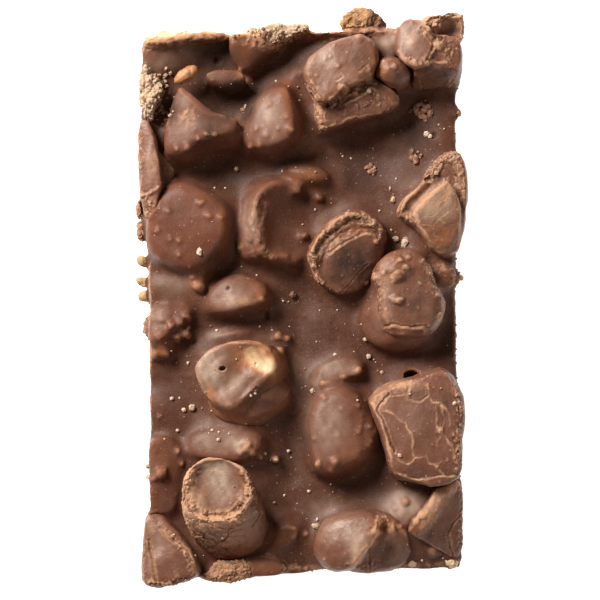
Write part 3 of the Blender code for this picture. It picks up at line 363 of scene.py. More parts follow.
class Relief:
    """Works a piece's upper surface: cracks, steps, bumps, crumbled stretches and rubbing."""

    def __init__(self, item):
        self.item = item
        self.co, self.no = points(item)
        ends = np.array([tuple(edge.vertices) for edge in item.data.edges[:4000]])
        self.spacing = np.linalg.norm(self.co[ends[:, 0]] - self.co[ends[:, 1]], axis=1).mean()
        self.up = np.clip((self.no[:, 2] + 0.25) / 0.6, 0, 1)
        self.marks = {name: np.zeros(len(self.co)) for name in ("wear", "pale", "painted_shade", "bloom_and_sheen", "red_tone_and_glow")}
        self.wander = 0.25 * np.stack([ripple(self.co, 2.6, i) + 0.4 * ripple(self.co, 0.9, i + 2)
                                       for i in (3, 4)])
        self.patchy = np.clip(0.72 + 0.55 * ripple(self.co, 2.6, 77), 0.12, 1.2) * self.up

    def off(self, path, share=1.0):
        """How far each point is from a path that wanders a little, as a hand-drawn line does."""
        return beside(*(self.co[:, :2].T + share * self.wander), path)

    def push(self, amount):
        """Move each point out of the surface by its own amount."""
        self.co = self.co + self.no * amount[:, None]

    def uneven(self, depth, size, seed):
        """Swells and dents all over, as a dipped coat sets."""
        self.push(depth * ripple(self.co, size, seed))

    def crack(self, path, width=0.22, depth=0.20, worn=0.75, lip=0.06):
        """A fine crack; its lips stand a little and show dry."""
        away = np.abs(self.off(path))
        self.push(self.up * (lip * np.exp(-((away - 1.6 * width) / width) ** 2)
                             - depth * np.exp(-(away / width) ** 2)))
        self.marks["wear"] += worn * self.patchy * np.exp(-(away / (1.2 * width)) ** 2)

    def step(self, path, drop, reach, worn=0.7):
        """The surface right of the path lies lower, and climbs back over the reach."""
        away = self.off(path, 1.05)
        low = np.clip((0.15 - away) / 0.3, 0, 1) * np.clip((reach + away) / reach, 0, 1) ** 1.5
        self.push(-drop * low * self.up)
        self.marks["wear"] += worn * self.patchy * np.exp(-((away - 0.1) / 0.4) ** 2)

    def ridge(self, path, height, width, worn=0.5):
        """A raised lip along a path, rubbed on its crest."""
        away = np.abs(self.off(path))
        self.push(self.up * height * np.exp(-(away / width) ** 2))
        self.marks["wear"] += worn * self.patchy * np.exp(-(away / (0.7 * width)) ** 2)

    def bump(self, x, y, radius, height=0.45, worn=0.25):
        """One grain or drop, not quite round."""
        reach = radius * (1 + 0.25 * ripple(self.co, 1.7, 9))
        away = np.hypot(self.co[:, 0] - x, self.co[:, 1] - y) / reach
        share = np.clip(1 - (away / 1.2) ** 2, 0, 1)
        self.push(self.up * height * share ** 1.5)
        self.marks["wear"] += worn * self.up * share ** 3

    def bumps(self, *places, height=0.45, worn=0.3):
        """Grains under the coat, each with its place and radius; height is a share of the radius."""
        for x, y, radius in places:
            self.bump(x, y, radius, height * radius, worn)

    def oval(self, x, y, across, along):
        """How far out each point is in plan: 0 at an oval's middle, 1 on its edge."""
        return np.hypot((self.co[:, 0] - x) / across, (self.co[:, 1] - y) / along)

    def pit(self, x, y, across, along, depth, painted_shade=1.0):
        """A hole, with painted shade on its floor."""
        gap = self.oval(x, y, across, along)
        share = np.clip((1.15 - gap) / 0.45, 0, 1) * self.up
        self.co[:, 2] -= depth * share
        self.marks["painted_shade"] += painted_shade * np.clip((1.3 - gap) / 0.4, 0, 1)

    def soft(self, *oval):
        """1 at an oval's middle, fading out past its edge."""
        return np.exp(-self.oval(*oval) ** 2)

    def paint(self, kind, *patches):
        """Soft patches of one kind of mark: each has its place, its two radii and how much."""
        patchy = np.clip(1 + 0.35 * ripple(self.co, 2.0, 15), 0, 1.4)
        for *oval, amount in patches:
            self.marks[kind] += 1.1 * amount * self.soft(*oval) * patchy

    def swell(self, *places):
        """Smooth rises of the upper surface; a negative height makes a dent."""
        for *oval, height in places:
            self.co[:, 2] += height * self.soft(*oval) * self.up

    def hollow(self, *places):
        """Wide shallow dishes between the lumps; a negative depth makes a swell."""
        for *oval, depth in places:
            low = np.clip((12.0 - self.co[:, 2]) / 2.0, 0, 1) * np.clip(self.co[:, 2] - 3.0, 0, 1)
            self.co[:, 2] -= depth * self.soft(*oval) * low

    def crumble(self, path, width, depth=0.6, size=1.2, worn=0.8, seed=21, fine=0.3, shade=0.35, cream=0.0):
        """A broken, crumbly stretch along a path, its dry colour, and painted shade between its grains."""
        share = np.exp(-(np.abs(self.off(path)) / width) ** 2) * np.clip(self.co[:, 2] - 1.0, 0, 1)
        chosen = np.flatnonzero(share > 0.04)
        near = self.co[chosen]
        sway = np.stack([ripple(near, 1.6 * size, seed + i) for i in (2, 3, 4)], axis=1)
        warped = near + 0.35 * size * sway
        inside, number = grains(warped, size, seed)
        small, _ = grains(warped, 0.45 * size, seed + 1)
        rough = 1.1 * (number - 0.6) + 0.5 * (inside ** 0.5 - 0.8) + fine * (small - 0.5)
        self.co[chosen] += self.no[chosen] * (depth * share[chosen] * rough)[:, None]
        self.marks["wear"][chosen] += worn * share[chosen] * (0.15 + 0.85 * number) * (0.5 + 0.5 * small)
        self.marks["pale"][chosen] += cream * share[chosen] * (0.4 + 0.6 * number)
        self.marks["painted_shade"][chosen] += shade * share[chosen] * np.clip(0.30 - inside, 0, 1) * 3

    def scatter(self, count, low, high, seed, region=None):
        """Small bumps, as grains under the coat make them, drawn from the surface that faces up."""
        draw = np.random.default_rng(seed)
        open_to = np.flatnonzero((self.no[:, 2] > 0.45) if region is None else region)
        for chosen in draw.choice(open_to, count, replace=False):
            x, y, _ = self.co[chosen]
            radius = draw.uniform(low, high)
            self.bump(x, y, radius, 0.32 * radius * draw.uniform(0.5, 1.2), draw.uniform(0.0, 0.35))

    def done(self):
        """Write the shape back, and the marks and how sharply each place bends, for the finish."""
        move(self.item, self.co)
        mesh = self.item.data
        around = neighbours(self.item)
        co, no = points(self.item)
        middle = np.stack([around(co[:, i]) for i in range(3)], axis=1)
        bend = ((co - middle) * no).sum(axis=1) / self.spacing ** 2
        for _ in range(3):
            bend = 0.5 * bend + 0.5 * around(bend)
        for name, values in (("edge", bend), *self.marks.items()):
            limited = np.clip(values, -3, 1.0 if name != "wear" else 1.3).astype(np.float32)
            mesh.attributes.new(name, "FLOAT", "POINT").data.foreach_set("value", limited)


def neighbours(item):
    """A function that takes a value at each point and gives the mean of its neighbours'."""
    pairs = np.empty(len(item.data.edges) * 2, np.int32)
    item.data.edges.foreach_get("vertices", pairs)
    first, second = pairs.reshape(-1, 2).T
    size = len(item.data.vertices)
    count = np.maximum(np.bincount(pairs, minlength=size), 1)

    def around(values):
        return (np.bincount(first, values[second], size) + np.bincount(second, values[first], size)) / count

    return around


def run_together(item, rounds):
    """Poured chocolate fills its own hollows: on top, a point lower than its neighbours rises."""
    co, no = points(item)
    co = co.astype(float)
    around = neighbours(item)
    free = np.flatnonzero((no[:, 2] > FACES_UP) & (co[:, 2] > CUT_SIDE))
    for _ in range(rounds):
        lift = (around(co[:, 2]) - co[:, 2])[free]
        co[free, 2] += 0.8 * np.maximum(lift, 0)
    move(item, co)


def level_underside(item):
    """The slab set on a flat tray: its underside is one level face."""
    co, _ = points(item)
    low = co[:, 2] < UNDERSIDE
    co[low, 2] = 0.0
    move(item, co)
    choose(item)
    item.data.vertices.foreach_set("select", low)
    item.data.edges.foreach_set("select", np.zeros(len(item.data.edges), bool))
    item.data.polygons.foreach_set("select", np.zeros(len(item.data.polygons), bool))
    bpy.context.tool_settings.mesh_select_mode = (True, False, False)
    bpy.ops.object.mode_set(mode="EDIT")
    bpy.ops.mesh.dissolve_faces(use_verts=True)
    bpy.ops.object.mode_set(mode="OBJECT")


surfaces = []                 # what crumbs can lie on


def finished(item, material, slot, *nodes):
    """Give the piece its finish and let it stand for its nodes."""
    item.data.materials.append(material)
    choose(item)
    bpy.ops.object.shade_smooth()
    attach(item, "root")
    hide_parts(*nodes)
    surfaces.append(tree_of(item))


slab = copy_of("chocolate_slab", "slab")
slab_wall = tree_of(slab)
plugs = []
for node in sorted(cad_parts):
    if node == "chocolate_slab":
        continue
    plug = copy_of(node, "plug")
    apply(plug, "SUBSURF", subdivision_type="SIMPLE", levels=2, render_levels=2)
    co, no = points(plug)
    held = np.array([slab_wall.find_nearest(Vector(p) * MM)[3] < NEAR * MM for p in co])
    co += no * np.where(held, CLOSING, -CLOSING)[:, None]
    co[:, 2] = np.where(held, co[:, 2], np.minimum(co[:, 2], HIGHER.get(node, CLOSED_TO)))
    move(plug, co)
    plugs.append(plug)
choose(slab)
for plug in plugs:
    plug.select_set(True)
bpy.ops.object.join()
even_out(slab, SLAB_FACET, 6)
run_together(slab, 56)
apply(slab, "SMOOTH", factor=0.5, iterations=2)
level_underside(slab)

relief = Relief(slab)
above = np.clip((relief.co[:, 2] - 3.0) / 4.0, 0, 1)
relief.push(above * (0.22 * ripple(relief.co, 9.0, 5) + 0.03 * ripple(relief.co, 2.4, 6)))
# wide dishes in the level parts, and swells of chocolate over what lies under it
relief.hollow(
    (-16, 50, 9, 5, 1.2), (-3, 57, 7, 4, 1), (12, 36, 9, 4, 1), (-18, 31, 7, 4, 1), (3, 2, 6, 5, 1),
    (-2, -8, 5, 7, 1), (-2, -36, 4, 9, 1.2), (-2, -48, 5, 6, 1.2), (33, -8, 3, 7, 1),
    (28, -50, 6, 4, -1.2), (-30, 4, 6, 3, -0.8), (31, 38, 5, 4, -0.8), (-24, -31, 6, 4, -1),
    (10, -14, 6, 3, -0.8), (20, 62, 4, 3, -0.8), (27, 28, 4, 5, -0.8), (-17, 46.8, 4, 3, 1.4),
    (-25.6, 37.4, 3.6, 1.8, 1.8))
relief.swell(
    (0.5, 38.5, 3.4, 3.6, 1.8), (9, -20.2, 4.5, 1.2, 0.9), (24, -9.6, 6, 2.2, 1.6),
    (18.4, -5, 1.6, 4, 1.2), (-33, -9.6, 3.4, 2.4, 1.3), (-28.5, -7, 2, 2, 0.8), (-18.4, 19.6, 2, 3, 0.7),
    (-20, -37.4, 5, 1.6, 0.7), (-9.4, 16.5, 1.8, 5.5, 1.4))
# grains that the poured chocolate covers
relief.bumps(
    (-31.5, 21, 0.9), (-24, 23, 1), (-22, 20, 1.1), (-19, 19.5, 0.8), (-34, 16.5, 0.9), (-31, 14.5, 0.8),
    (-29, 14, 0.9), (-29, 10.8, 0.9), (-27, 36.3, 1.2), (-8.2, 39, 0.9), (-9.8, 37, 0.9), (-2.5, 40.5, 1),
    (-12, 36.5, 0.9), (-14.5, 12.5, 1), (-11, 10.7, 0.9), (4, -39, 0.9), (14, -30, 0.9), (16, -30, 0.9),
    (16.5, -33.5, 0.9), (5.3, -23, 1.1), (-27.4, -8.2, 1.3), (-29.6, -9.4, 1.2), (-32.5, -12.5, 1.3),
    (-35, -13, 1.1), (-28.6, -5.4, 1), (-27, -4.4, 0.9), (-31.2, -6.2, 1), (-26.9, -6.6, 0.8),
    (13.5, -31.4, 0.9), (16, -34.6, 0.8), (8.9, -32, 0.7), (3.2, -32.9, 0.7), (13.5, -25.1, 0.8),
    (9.5, -25.7, 0.7), (7.2, -40.3, 1), (13.2, -17.6, 0.9), (10.2, -18.4, 0.8), (5.2, -19.6, 0.8),
    (-33.5, -41.5, 1.6), (-35, -42.3, 1), (25, -48.3, 1.1), (-5.5, -8.7, 1.3), (-3.5, -9.3, 1),
    (-5, -12.5, 1.4), (31.5, -60, 1.5), (20.5, -1.5, 0.9), (-34, -28, 0.8))
# golden grains and tan drops that stand out of it
relief.bumps(
    (8, -38.3, 1.3), (4.2, -38.6, 0.9), (-13, -35, 1.5), (-11.6, -36.4, 1.1), (-14.3, -36.2, 1),
    (-29.5, -36.2, 1), (-28.6, -39.2, 0.9), (-9.7, -37.5, 0.9), (-6, -38.3, 0.9), (-9.5, 0.3, 0.9),
    (13.5, -16.6, 0.9), (1.2, -56, 1), height=0.5, worn=0.75)
relief.bumps(
    (-24.6, 3.3, 1.6), (-25.8, 5.5, 0.8), (2, 36.4, 0.7), (1.2, 39.4, 0.6), height=0.65, worn=0.3)
# at the far left: a crumbly spot, a fold and a few rubbed grains
relief.crumble(
    ((-28.4, 43.2), (-27.6, 44.8), (-26, 44.4), (-25.6, 42.8), (-26.8, 42)), 0.9, 0.65, 0.8, 1.1)
relief.ridge(((-29.2, 50.6), (-26, 47), (-22, 43.8), (-17, 43), (-14, 42.4)), 0.25, 0.7, 0.1)
relief.bumps(
    (-24.4, 38.2, 0.7), (-22.6, 39.4, 0.7), (-20.4, 39.2, 0.8), (-29.4, 36, 0.9), (-5.4, 40.5, 0.7),
    (-3.4, 43.5, 0.6), (-7.4, 46.5, 0.7), (-10.6, 40.6, 0.8), worn=0.6)
relief.paint("wear", (-13.5, -0.4, 3, 1, 0.55), (-13.6, 53.4, 1.6, 1, 0.5))
# painted sheen where light falls, painted shade where the lumps cast shadow, and redder spots
relief.paint(
    "bloom_and_sheen", (-7.4, 42.6, 3.2, 4.6, 0.5), (-28, 41, 2.4, 4, 0.2), (-16.4, 0.4, 3.6, 2.6, 0.5),
    (6.6, -30, 4, 6, 0.45), (8, -16, 5, 1.8, 0.35), (-15, -34, 2.8, 2, 0.65),
    (-22, -33.8, 3.2, 1.8, 0.35), (25, -49.2, 4.8, 3.2, 0.75), (-30, 4, 4, 2.2, 0.25),
    (-22, -29, 3.6, 1.6, 0.15), (-20, -8.2, 3, 1, 0.35), (-33, 57, 4, 2.4, 0.2), (-19, 53, 3, 1, 0.25),
    (5.5, -50, 3.4, 1.8, 0.25), (-12.6, 18, 1.8, 5, 0.4), (-27.6, 45.6, 1.5, 3.4, 0.35),
    (-24.4, 41.6, 3, 1.2, 0.15), (21.2, 62, 2, 3.2, 0.45), (-9.6, 46.6, 2.2, 2.6, 0.25),
    (19, -4, 1.6, 4, 0.25), (-34.5, -4, 2.5, 2, 0.25), (-10.8, 19, 1.2, 4, 0.3),
    (4, -20.4, 2.2, 1.6, 0.25), (-28, 60, 3.2, 1.8, 0.2), (-1.5, -20.5, 2.2, 5, 0.16),
    (26, -10, 3, 1.6, 0.15), (20, 62, 2, 1.5, 0.25), (26, 28, 3, 2, 0.15))
relief.paint(
    "painted_shade", (-17, 47.2, 5.4, 3.8, 1), (-13, 45, 2, 3.6, 0.7), (-30.8, 46, 1.8, 3.8, 1),
    (28, 40, 5, 4.6, 1), (-15.6, 14, 1.4, 6, 0.5), (-33, -37, 3, 3, 0.25), (-24, 57.4, 4.6, 3.8, 0.6),
    (-14, 51, 5, 2.4, 0.65), (-9, 56, 3.4, 3.6, 0.5), (-18.5, 42.5, 3.6, 2, 0.35), (-2, 23, 3, 3, 0.2),
    (14, 30, 5, 4, 0.9), (-22, 40.6, 3.2, 3, 0.45), (25, 30, 2.4, 3, 0.3), (-20, 9.6, 3.6, 2.2, 0.5),
    (-20, 31, 5, 3, 0.6), (-1, 33, 6, 2, 0.3), (4, -8, 6, 5, 0.35), (-30, -22, 4, 4, 0.25),
    (34, -9, 3.2, 6, 0.5), (-24.6, 37, 4.2, 1.6, 0.45), (-20, 39.6, 2.4, 1.4, 0.35),
    (-30, 22, 4, 3, 0.25), (-19, 24, 3, 3, 0.4), (-17.6, 58, 2.6, 2.6, 0.6), (18.4, -41, 3.4, 4, 0.55),
    (-21, 58, 3, 3, 0.45), (-5, 17, 2.2, 5, 0.35), (-1, 57, 4, 4, 0.35), (34, 30, 3, 4, 0.2),
    (-2, -36, 2.6, 8, 0.25), (-26.5, -45, 2, 5, 0.35), (-29, -56, 3, 3, 0.45), (-4, -60, 5, 3, 0.35),
    (12, -44, 5, 2, 0.25))
relief.paint(
    "red_tone_and_glow", (-18.6, 18, 1.1, 5, 0.6), (-20.6, 24.6, 3, 1.2, 0.3), (-6, 10.4, 5, 1, 0.5),
    (-3.4, 49, 1.4, 3.4, 0.7), (-2.2, 44, 1.4, 3, 0.4), (-14.4, 13, 1.6, 3.2, 0.4),
    (2.6, 37.6, 2, 3, 0.3), (-9.6, 1.6, 1.8, 2.6, 0.5), (-17, 44.6, 3.4, 1.4, 0.5),
    (-14, 53.6, 2.4, 1.6, 0.6), (-20, 39, 4, 1.2, 0.4), (2, 29, 5, 2.2, 0.5), (13, -37, 4, 2.4, 0.5),
    (-34, -11.6, 3, 2.4, 0.5), (-11.4, -35.4, 2, 2, 0.5), (-33, -38, 3.4, 4, 0.4),
    (-24.6, 3.6, 1.8, 2, 0.9), (-13, 58, 3, 3, 0.35), (-5, -57.6, 4, 3, 0.35), (-10, -64.6, 5, 1.4, 0.6))
# the rubbed edge of the left cut, and a crumbly patch there and beside the barrel
relief.ridge(((-36.5, 8), (-36.2, -10), (-36.2, -30)), 0.1, 0.3, 0.9)
relief.crumble(
    ((-36.4, -3.6), (-31.6, -5.6), (-27.6, -5), (-29.4, -9), (-34, -12.6)), 2.2, 0.55, 2.5, 0.12, seed=26,
    fine=0.12, shade=0.15)
relief.crumble(((-13.6, -34.4), (-10.4, -36.2)), 1.6, 0.45, 2, 0.25, seed=27, fine=0.12, shade=0.15)
# lips and wrinkles of the pour
relief.ridge(((5, -20), (9, -18.5), (14, -16.8)), 0.5, 0.8, 0.3)
relief.ridge(((-11, 12), (-7.4, 10.4), (-3.4, 10.6)), 0.5, 0.9, 0.2)
relief.ridge(((-5.6, -15.8), (-4.8, -18), (-3, -20)), 0.3, 0.35, 0.5)
relief.ridge(((-22.2, -22.6), (-21.8, -24.6), (-20.6, -26.2)), 0.3, 0.35, 0.5)
relief.ridge(((-8.6, -60.6), (-6, -61.6), (-3.3, -63.1)), 0.25, 0.35, 0.35)
relief.ridge(((-5, -55), (-3, -54.2), (-1, -55.4), (-1.6, -57)), 0.3, 0.7, 0.35)
# a deep hole beside the cracked block, and small holes where air came out, with painted shade inside
for hole in ((26.5, -18.2, 1.7, 1.1, 3), (-8.2, -3.7, 0.45, 1.1, 0.8), (-20, 57.5, 0.9, 0.8, 0.8),
             (-17.4, 2.8, 0.35, 0.35, 0.3), (7.5, -5.8, 0.35, 0.35, 0.3), (31.9, 39.5, 0.6, 0.6, 0.6)):
    relief.pit(*hole)
# small grains under the chocolate, more of them on the lumps
lumps = (relief.co[:, 2] > 10.6) & (relief.no[:, 2] > 0.45)
relief.scatter(80, 0.35, 0.75, 31, lumps)
relief.scatter(60, 0.25, 0.5, 32)
# the crumbly ledge of the open lump left of the disc
relief.crumble(
    ((-8.6, 22.5), (-9.6, 18.5), (-9.8, 15.5), (-9.1, 13), (-7.4, 10.6)), 1.1, 0.35, 0.9, 0.7, shade=0.1)
relief.crumble(
    ((-9.5, 24), (-11.8, 20), (-12, 15.5), (-10.8, 11)), 1.9, 0.35, 1.7, 0.3, seed=24, fine=0.2,
    shade=0.1)
# the top of the four cuts: cream crumb at the far one, brown crumb elsewhere
relief.crumble(((-38.4, 61), (-33, 61.6), (-27, 63), (-22, 63.8)), 1.6, 0.6, 1, 1.6)
relief.crumble(
    ((-38.4, 62.8), (-33, 63.2), (-27, 64.2), (-22, 64.6)), 1.1, 0.3, 0.8, 1, seed=23, shade=0.1,
    cream=0.9)
relief.crumble(((-22, 63.8), (-16, 63), (-11, 61.4), (-6.5, 60.8), (-4, 62.4)), 1.5, 0.5, 1, 1.6)
relief.crumble(
    ((-22, 64.2), (-16, 63.8), (-10, 63.4), (-4, 63.4)), 1, 0.3, 0.8, 1, seed=23, shade=0.1, cream=0.7)
relief.crumble(((-4, 63.4), (2, 64), (14, 64.4), (24, 64.6)), 1.5, 0.5, 1, 1.5, shade=0.15)
relief.crumble(((-31.5, 41), (-33, 46), (-31.8, 50), (-34, 54)), 0.8, 0.3, 0.8, 0.6)
relief.crumble(((31.8, 7.2), (34.4, 8.2), (36.6, 6.8), (36.4, 3.8)), 1.3, 0.5, 1.1, 0.7)
relief.crumble(((-36.6, 48), (-36.4, 20), (-36.4, 0), (-36.4, -28), (-36.4, -52)), 0.45, 0.25, 1, 0.55)
relief.crumble(((37, 45), (37.3, 12), (37, -10), (37, -16)), 0.55, 0.3, 1, 0.6)
relief.crumble(
    ((-4, -64.2), (4, -64.4), (14, -64.4), (26, -63.8), (37, -63.6)), 0.8, 0.3, 0.9, 1.1, shade=0.15)
relief.done()
finished(slab, POURED, "poured_chocolate", "chocolate_slab")
# where crumbs can stick to the cut sides
cut_walls = relief.co[(np.abs(relief.no[:, 2]) < 0.35) & (relief.co[:, 2] > 4.0)
                      & ((np.abs(relief.co[:, 0]) > 35.8) | (np.abs(relief.co[:, 1]) > 63.0))]


# ---------------------------------------------------------------- the broken block at the far end
# A marshmallow coated twice and chilled before the pouring. Its shell has split across the front, so
# an upper block overhangs a crumbly cavity, and a lower plate shows below it.
def shell(node, seed, facet=0.24, soft=12, uneven=0.14):
    """A lump's own mesh from its solid, evened out, ready for its details."""
    lump = copy_of(node, node.replace("chunk", "lump"))
    even_out(lump, facet, soft)
    relief = Relief(lump)
    relief.uneven(uneven, 6.0, seed)
    relief.uneven(0.03, 1.5, seed + 1)
    return relief


def coated(relief, node):
    """Finish a lump in shell chocolate."""
    relief.done()
    finished(relief.item, SHELL, "shell_chocolate", node)


relief = shell("chunk_top", seed=11)
front = ((6.8, 47.5), (8.5, 49.2), (9.5, 50.2), (12, 51), (14, 52), (16.5, 52.7))
relief.ridge(front, 0.3, 0.45, 0.8)
relief.crumble([(x + 0.9, y - 1.3) for x, y in front], 0.9, 0.6, 1, 0.6)
relief.ridge(((10.2, 46), (12, 47.2), (14, 48), (16, 49.2)), 0.25, 0.35, 0.9)
relief.ridge(((5, 41), (8, 41.6), (11, 43), (13, 43.7), (14, 43.3), (19, 44.4)), 0.2, 0.4, 0.8)
relief.crumble(((1.5, 51), (3, 48.5), (4, 45), (5, 41)), 1.3, 0.4, 1.1, 1.1)
relief.crumble(((16.5, 50.5), (18, 49), (18.5, 47.5)), 0.9, 0.5, 1)
# painted sheen on the lit left part; painted shade and a redder tone on the right half
relief.paint("bloom_and_sheen", (5.4, 56.4, 4, 3.4, 0.45), (10.6, 52.4, 2.6, 1.2, 0.35))
relief.paint("painted_shade", (13.4, 57.2, 3.8, 4.8, 0.62))
relief.paint("red_tone_and_glow", (13.6, 56.6, 4.4, 5.4, 0.75), (2, 53, 2, 3, 0.4))
relief.bump(13.6, 61.8, 1.3, 0.5, 0.2)
relief.crumble(((6, 42.6), (11, 45), (17, 47.4), (21, 46.4)), 2, 0.2, 1.4, 0.25)
relief.crack(((8.2, 51.5), (10, 52.5), (9.3, 53.5)))
relief.crack(((13.5, 54), (15.6, 55.3), (16, 54.5)))
relief.bumps((10.5, 49.5, 1.2), (12.8, 49.5, 1.3), worn=0.8)
relief.pit(6.2, 46.1, 0.45, 0.45, 0.5)
relief.scatter(14, 0.4, 0.8, 5)
coated(relief, "chunk_top")

# ---------------------------------------------------------------- the small ball beside it
# A little ball of marshmallow in its coat, set in the poured chocolate beside the block. Its left rim
# is golden, and its flat face carries painted shade.
relief = shell("chunk_ball", seed=13)
relief.ridge(((18.2, 52), (18, 54.5), (19.2, 57)), 0.15, 0.7, 0.8)
relief.bumps((22, 55.2, 0.9), (20.3, 50.3, 0.7))
relief.paint("painted_shade", (22.5, 52.8, 2, 2, 0.45))
relief.paint("red_tone_and_glow", (19, 54.5, 1.6, 3, 0.6))
coated(relief, "chunk_ball")

# ---------------------------------------------------------------- the far right corner
# A coated marshmallow with a rubbed face, paler with painted sheen, which the knife cut at the slab's
# corner. A split parts it from the crumbly chocolate behind it.
relief = shell("chunk_top_right", seed=15)
relief.ridge(((23, 58.5), (25, 56.3), (28, 55.5), (29.8, 57.5)), 0.2, 0.7, 0.8)
relief.crack(((28.5, 64.5), (31, 61), (30.5, 58), (30, 56.7)), 0.35, 0.5)
relief.ridge(((26.5, 54.8), (30, 56), (31, 56.3), (34, 56)), 0.3, 0.5, 0.7)
relief.crumble(((28, 67), (33, 67.4), (38.4, 68)), 1.8, 0.55, 1.1, 1.3, shade=0.2)
relief.crumble(((33.5, 61.5), (35.4, 59), (34.6, 57)), 1.7, 0.4, 0.9, 0.6)
relief.crumble(((38.8, 61), (39, 65), (38.4, 68)), 1.3, 0.5, 1, 1.3, shade=0.2)
relief.crumble(((29, 62.8), (32, 64.8), (33, 67)), 0.9, 0.5, 1, 0.9)
relief.crack(((28, 52.6), (29.5, 50.6), (32, 49.4), (34.5, 50.4), (36, 52.4)), 0.2, 0.15, 0.5)
relief.bumps((32.3, 60.3, 1.5), worn=0.9)
relief.paint("wear", (26, 61, 2.6, 3.2, 0.2))
relief.paint("bloom_and_sheen", (26, 61.2, 3, 4.2, 0.4))
relief.swell((32.4, 65.2, 3, 2.2, 4.2), (36.6, 67.2, 3, 1.2, 1.6))
relief.paint("wear", (31, 66.4, 2.4, 1.2, 0.7), (36.2, 67.6, 3, 0.8, 0.7))
# painted shade in the hollow at the corner
relief.paint("painted_shade", (36.4, 64.7, 1.3, 1.3, 1.1))
relief.crumble(((25, 57), (28.4, 56), (31, 57.4), (31.4, 61.6)), 0.7, 0.35, 0.8, 0.4, seed=27, shade=0.2)
relief.paint("bloom_and_sheen", (32.8, 64.8, 1.8, 1.2, 0.35))
relief.paint("wear", (32.8, 64.8, 1.8, 1.2, 0.45))
relief.crumble(((36.3, 55), (36, 51), (37, 49), (35, 48), (33, 46.5)), 0.6, 0.3, 1, 0.7)
# painted shade and a little painted sheen at the near side
relief.paint("painted_shade", (33.2, 53.6, 4.6, 1.9, 0.55))
relief.paint("bloom_and_sheen", (31, 50.6, 4, 1.4, 0.15))
coated(relief, "chunk_top_right")

# ---------------------------------------------------------------- the lump cut at the left edge
# A coated marshmallow whose shell the knife went through. Its flank is rubbed and pinkish with painted
# sheen, with a wedge of painted shade beside it and a crumbly foot.
relief = shell("chunk_left_edge", seed=17)
relief.paint("wear", (-35.2, 33, 1.4, 3, 0.45))
relief.paint("bloom_and_sheen", (-35.6, 34, 1.4, 6, 0.35))
relief.paint("painted_shade", (-32, 30.5, 1.2, 3.5, 0.6))
relief.ridge(((-37.8, 25), (-36, 25.4), (-34, 26.5)), 0.3, 0.5, 0.9)
relief.crumble(((-37, 25), (-36, 21.5), (-34.8, 19)), 1.4, 0.5, 1.1, 0.7)
relief.crumble(((-38.2, 40), (-38.2, 32), (-38, 26)), 0.6, 0.3, 1, 0.7)
coated(relief, "chunk_left_edge")

# ---------------------------------------------------------------- the lump cut at the right edge
# A coated marshmallow cut at the slab's right side. An outer plate of shell stands round it like a
# collar, with a hollow and a gap inside that are painted dark as shade.
relief = shell("chunk_right_edge", facet=0.22, seed=19)
relief.ridge(((23.2, 21), (25, 24), (28, 26), (31, 29), (33, 32)), 0.3, 0.6, 0.9)
relief.paint("painted_shade", (28.5, 25.2, 2.2, 1, 0.5), (32.5, 28.2, 2.4, 1, 0.7))
relief.pit(30.2, 28.6, 1, 0.6, 0.8)
relief.crumble(((30.5, 30), (33, 33), (36.5, 34.5)), 1.6, 0.5, 1.1, 0.9, shade=0.15)
relief.crumble(((36.5, 33.5), (37.6, 29), (37.8, 24)), 1.6, 0.3, 1.1, seed=22, shade=0.15)
relief.ridge(((27, 21.5), (30, 24), (35, 28)), 0.15, 0.6, 0.5)
relief.ridge(((26.8, 20), (28.5, 16.5), (31, 13), (33, 11.6), (35.5, 12)), 0.2, 0.8, 1)
for path in (((28.5, 18), (31, 17.8), (33, 19.2), (34.5, 21)), ((27.8, 21.7), (30, 23.2), (31.6, 23.0)),
             ((31, 17.8), (31.6, 15.4), (33.4, 14.2)), ((28.6, 21.2), (29.6, 19.6), (31.4, 20.2)),
             ((33, 19.2), (34.6, 17.6), (36.2, 18.0)), ((31.4, 20.2), (32.6, 22.6), (34.6, 24.6))):
    relief.crack(path, 0.14, 0.06, 0.9, 0.04)
relief.crumble(((26.4, 20.4), (28, 22.6), (31.6, 26.2), (34.6, 28.8)), 0.6, 0.2, 0.8, 0.9)
relief.crumble(((23.4, 20.6), (24.8, 20.4), (26.6, 18.4)), 1.2, 0.3, 1)
relief.ridge(((37.2, 24), (37.4, 18), (37.3, 12)), 0.2, 0.4, 0.8)
# rubbed rims, painted sheen on the facet that faces the light, and a redder tone below it
relief.paint("wear", (35.3, 26.5, 1.2, 1.2, 0.8), (31, 23.4, 4.4, 3, 0.6), (34.4, 25.4, 1.4, 2.2, 0.45))
relief.paint("bloom_and_sheen", (31.2, 21.8, 4, 3.6, 0.85))
relief.paint("red_tone_and_glow", (32, 15.2, 4.4, 3.4, 0.9))
coated(relief, "chunk_right_edge")

# ---------------------------------------------------------------- the disc in the middle
# A coated marshmallow on its side, pressed flat. Three lips of shell, with a groove between them,
# stand round its smooth face, which is painted dark as shade.
relief = shell("chunk_disc", facet=0.22, seed=23)
relief.ridge(
    ((2, 10), (3, 12.5), (4.5, 14.5), (7, 17), (9, 18), (10.5, 20), (13, 20.2), (16, 19.6), (19, 17.5)),
    0.25, 0.7, 0.3)
relief.crumble(
    ((2.2, 9), (3.2, 12.5), (6.6, 16.4), (10.5, 19.4), (15, 19.8), (19, 17)), 1.4, 0.36, 1.2, 0.55,
    shade=0.15)
relief.ridge(((5, 10.5), (8, 14), (12, 16.5), (14, 17.7), (17, 17.5), (19.5, 16.5)), 0.3, 0.6, 0.3)
relief.ridge(((3.8, 10), (6.2, 13.8), (9.6, 16.9), (13, 18.4), (17, 17.8)), 0.55, 0.9, 0.2)
relief.crumble(
    ((5.5, 11.5), (8.4, 14.4), (12, 16.8), (16, 17.6)), 0.9, 0.18, 1.5, 0.45, fine=0.2, shade=0.05)
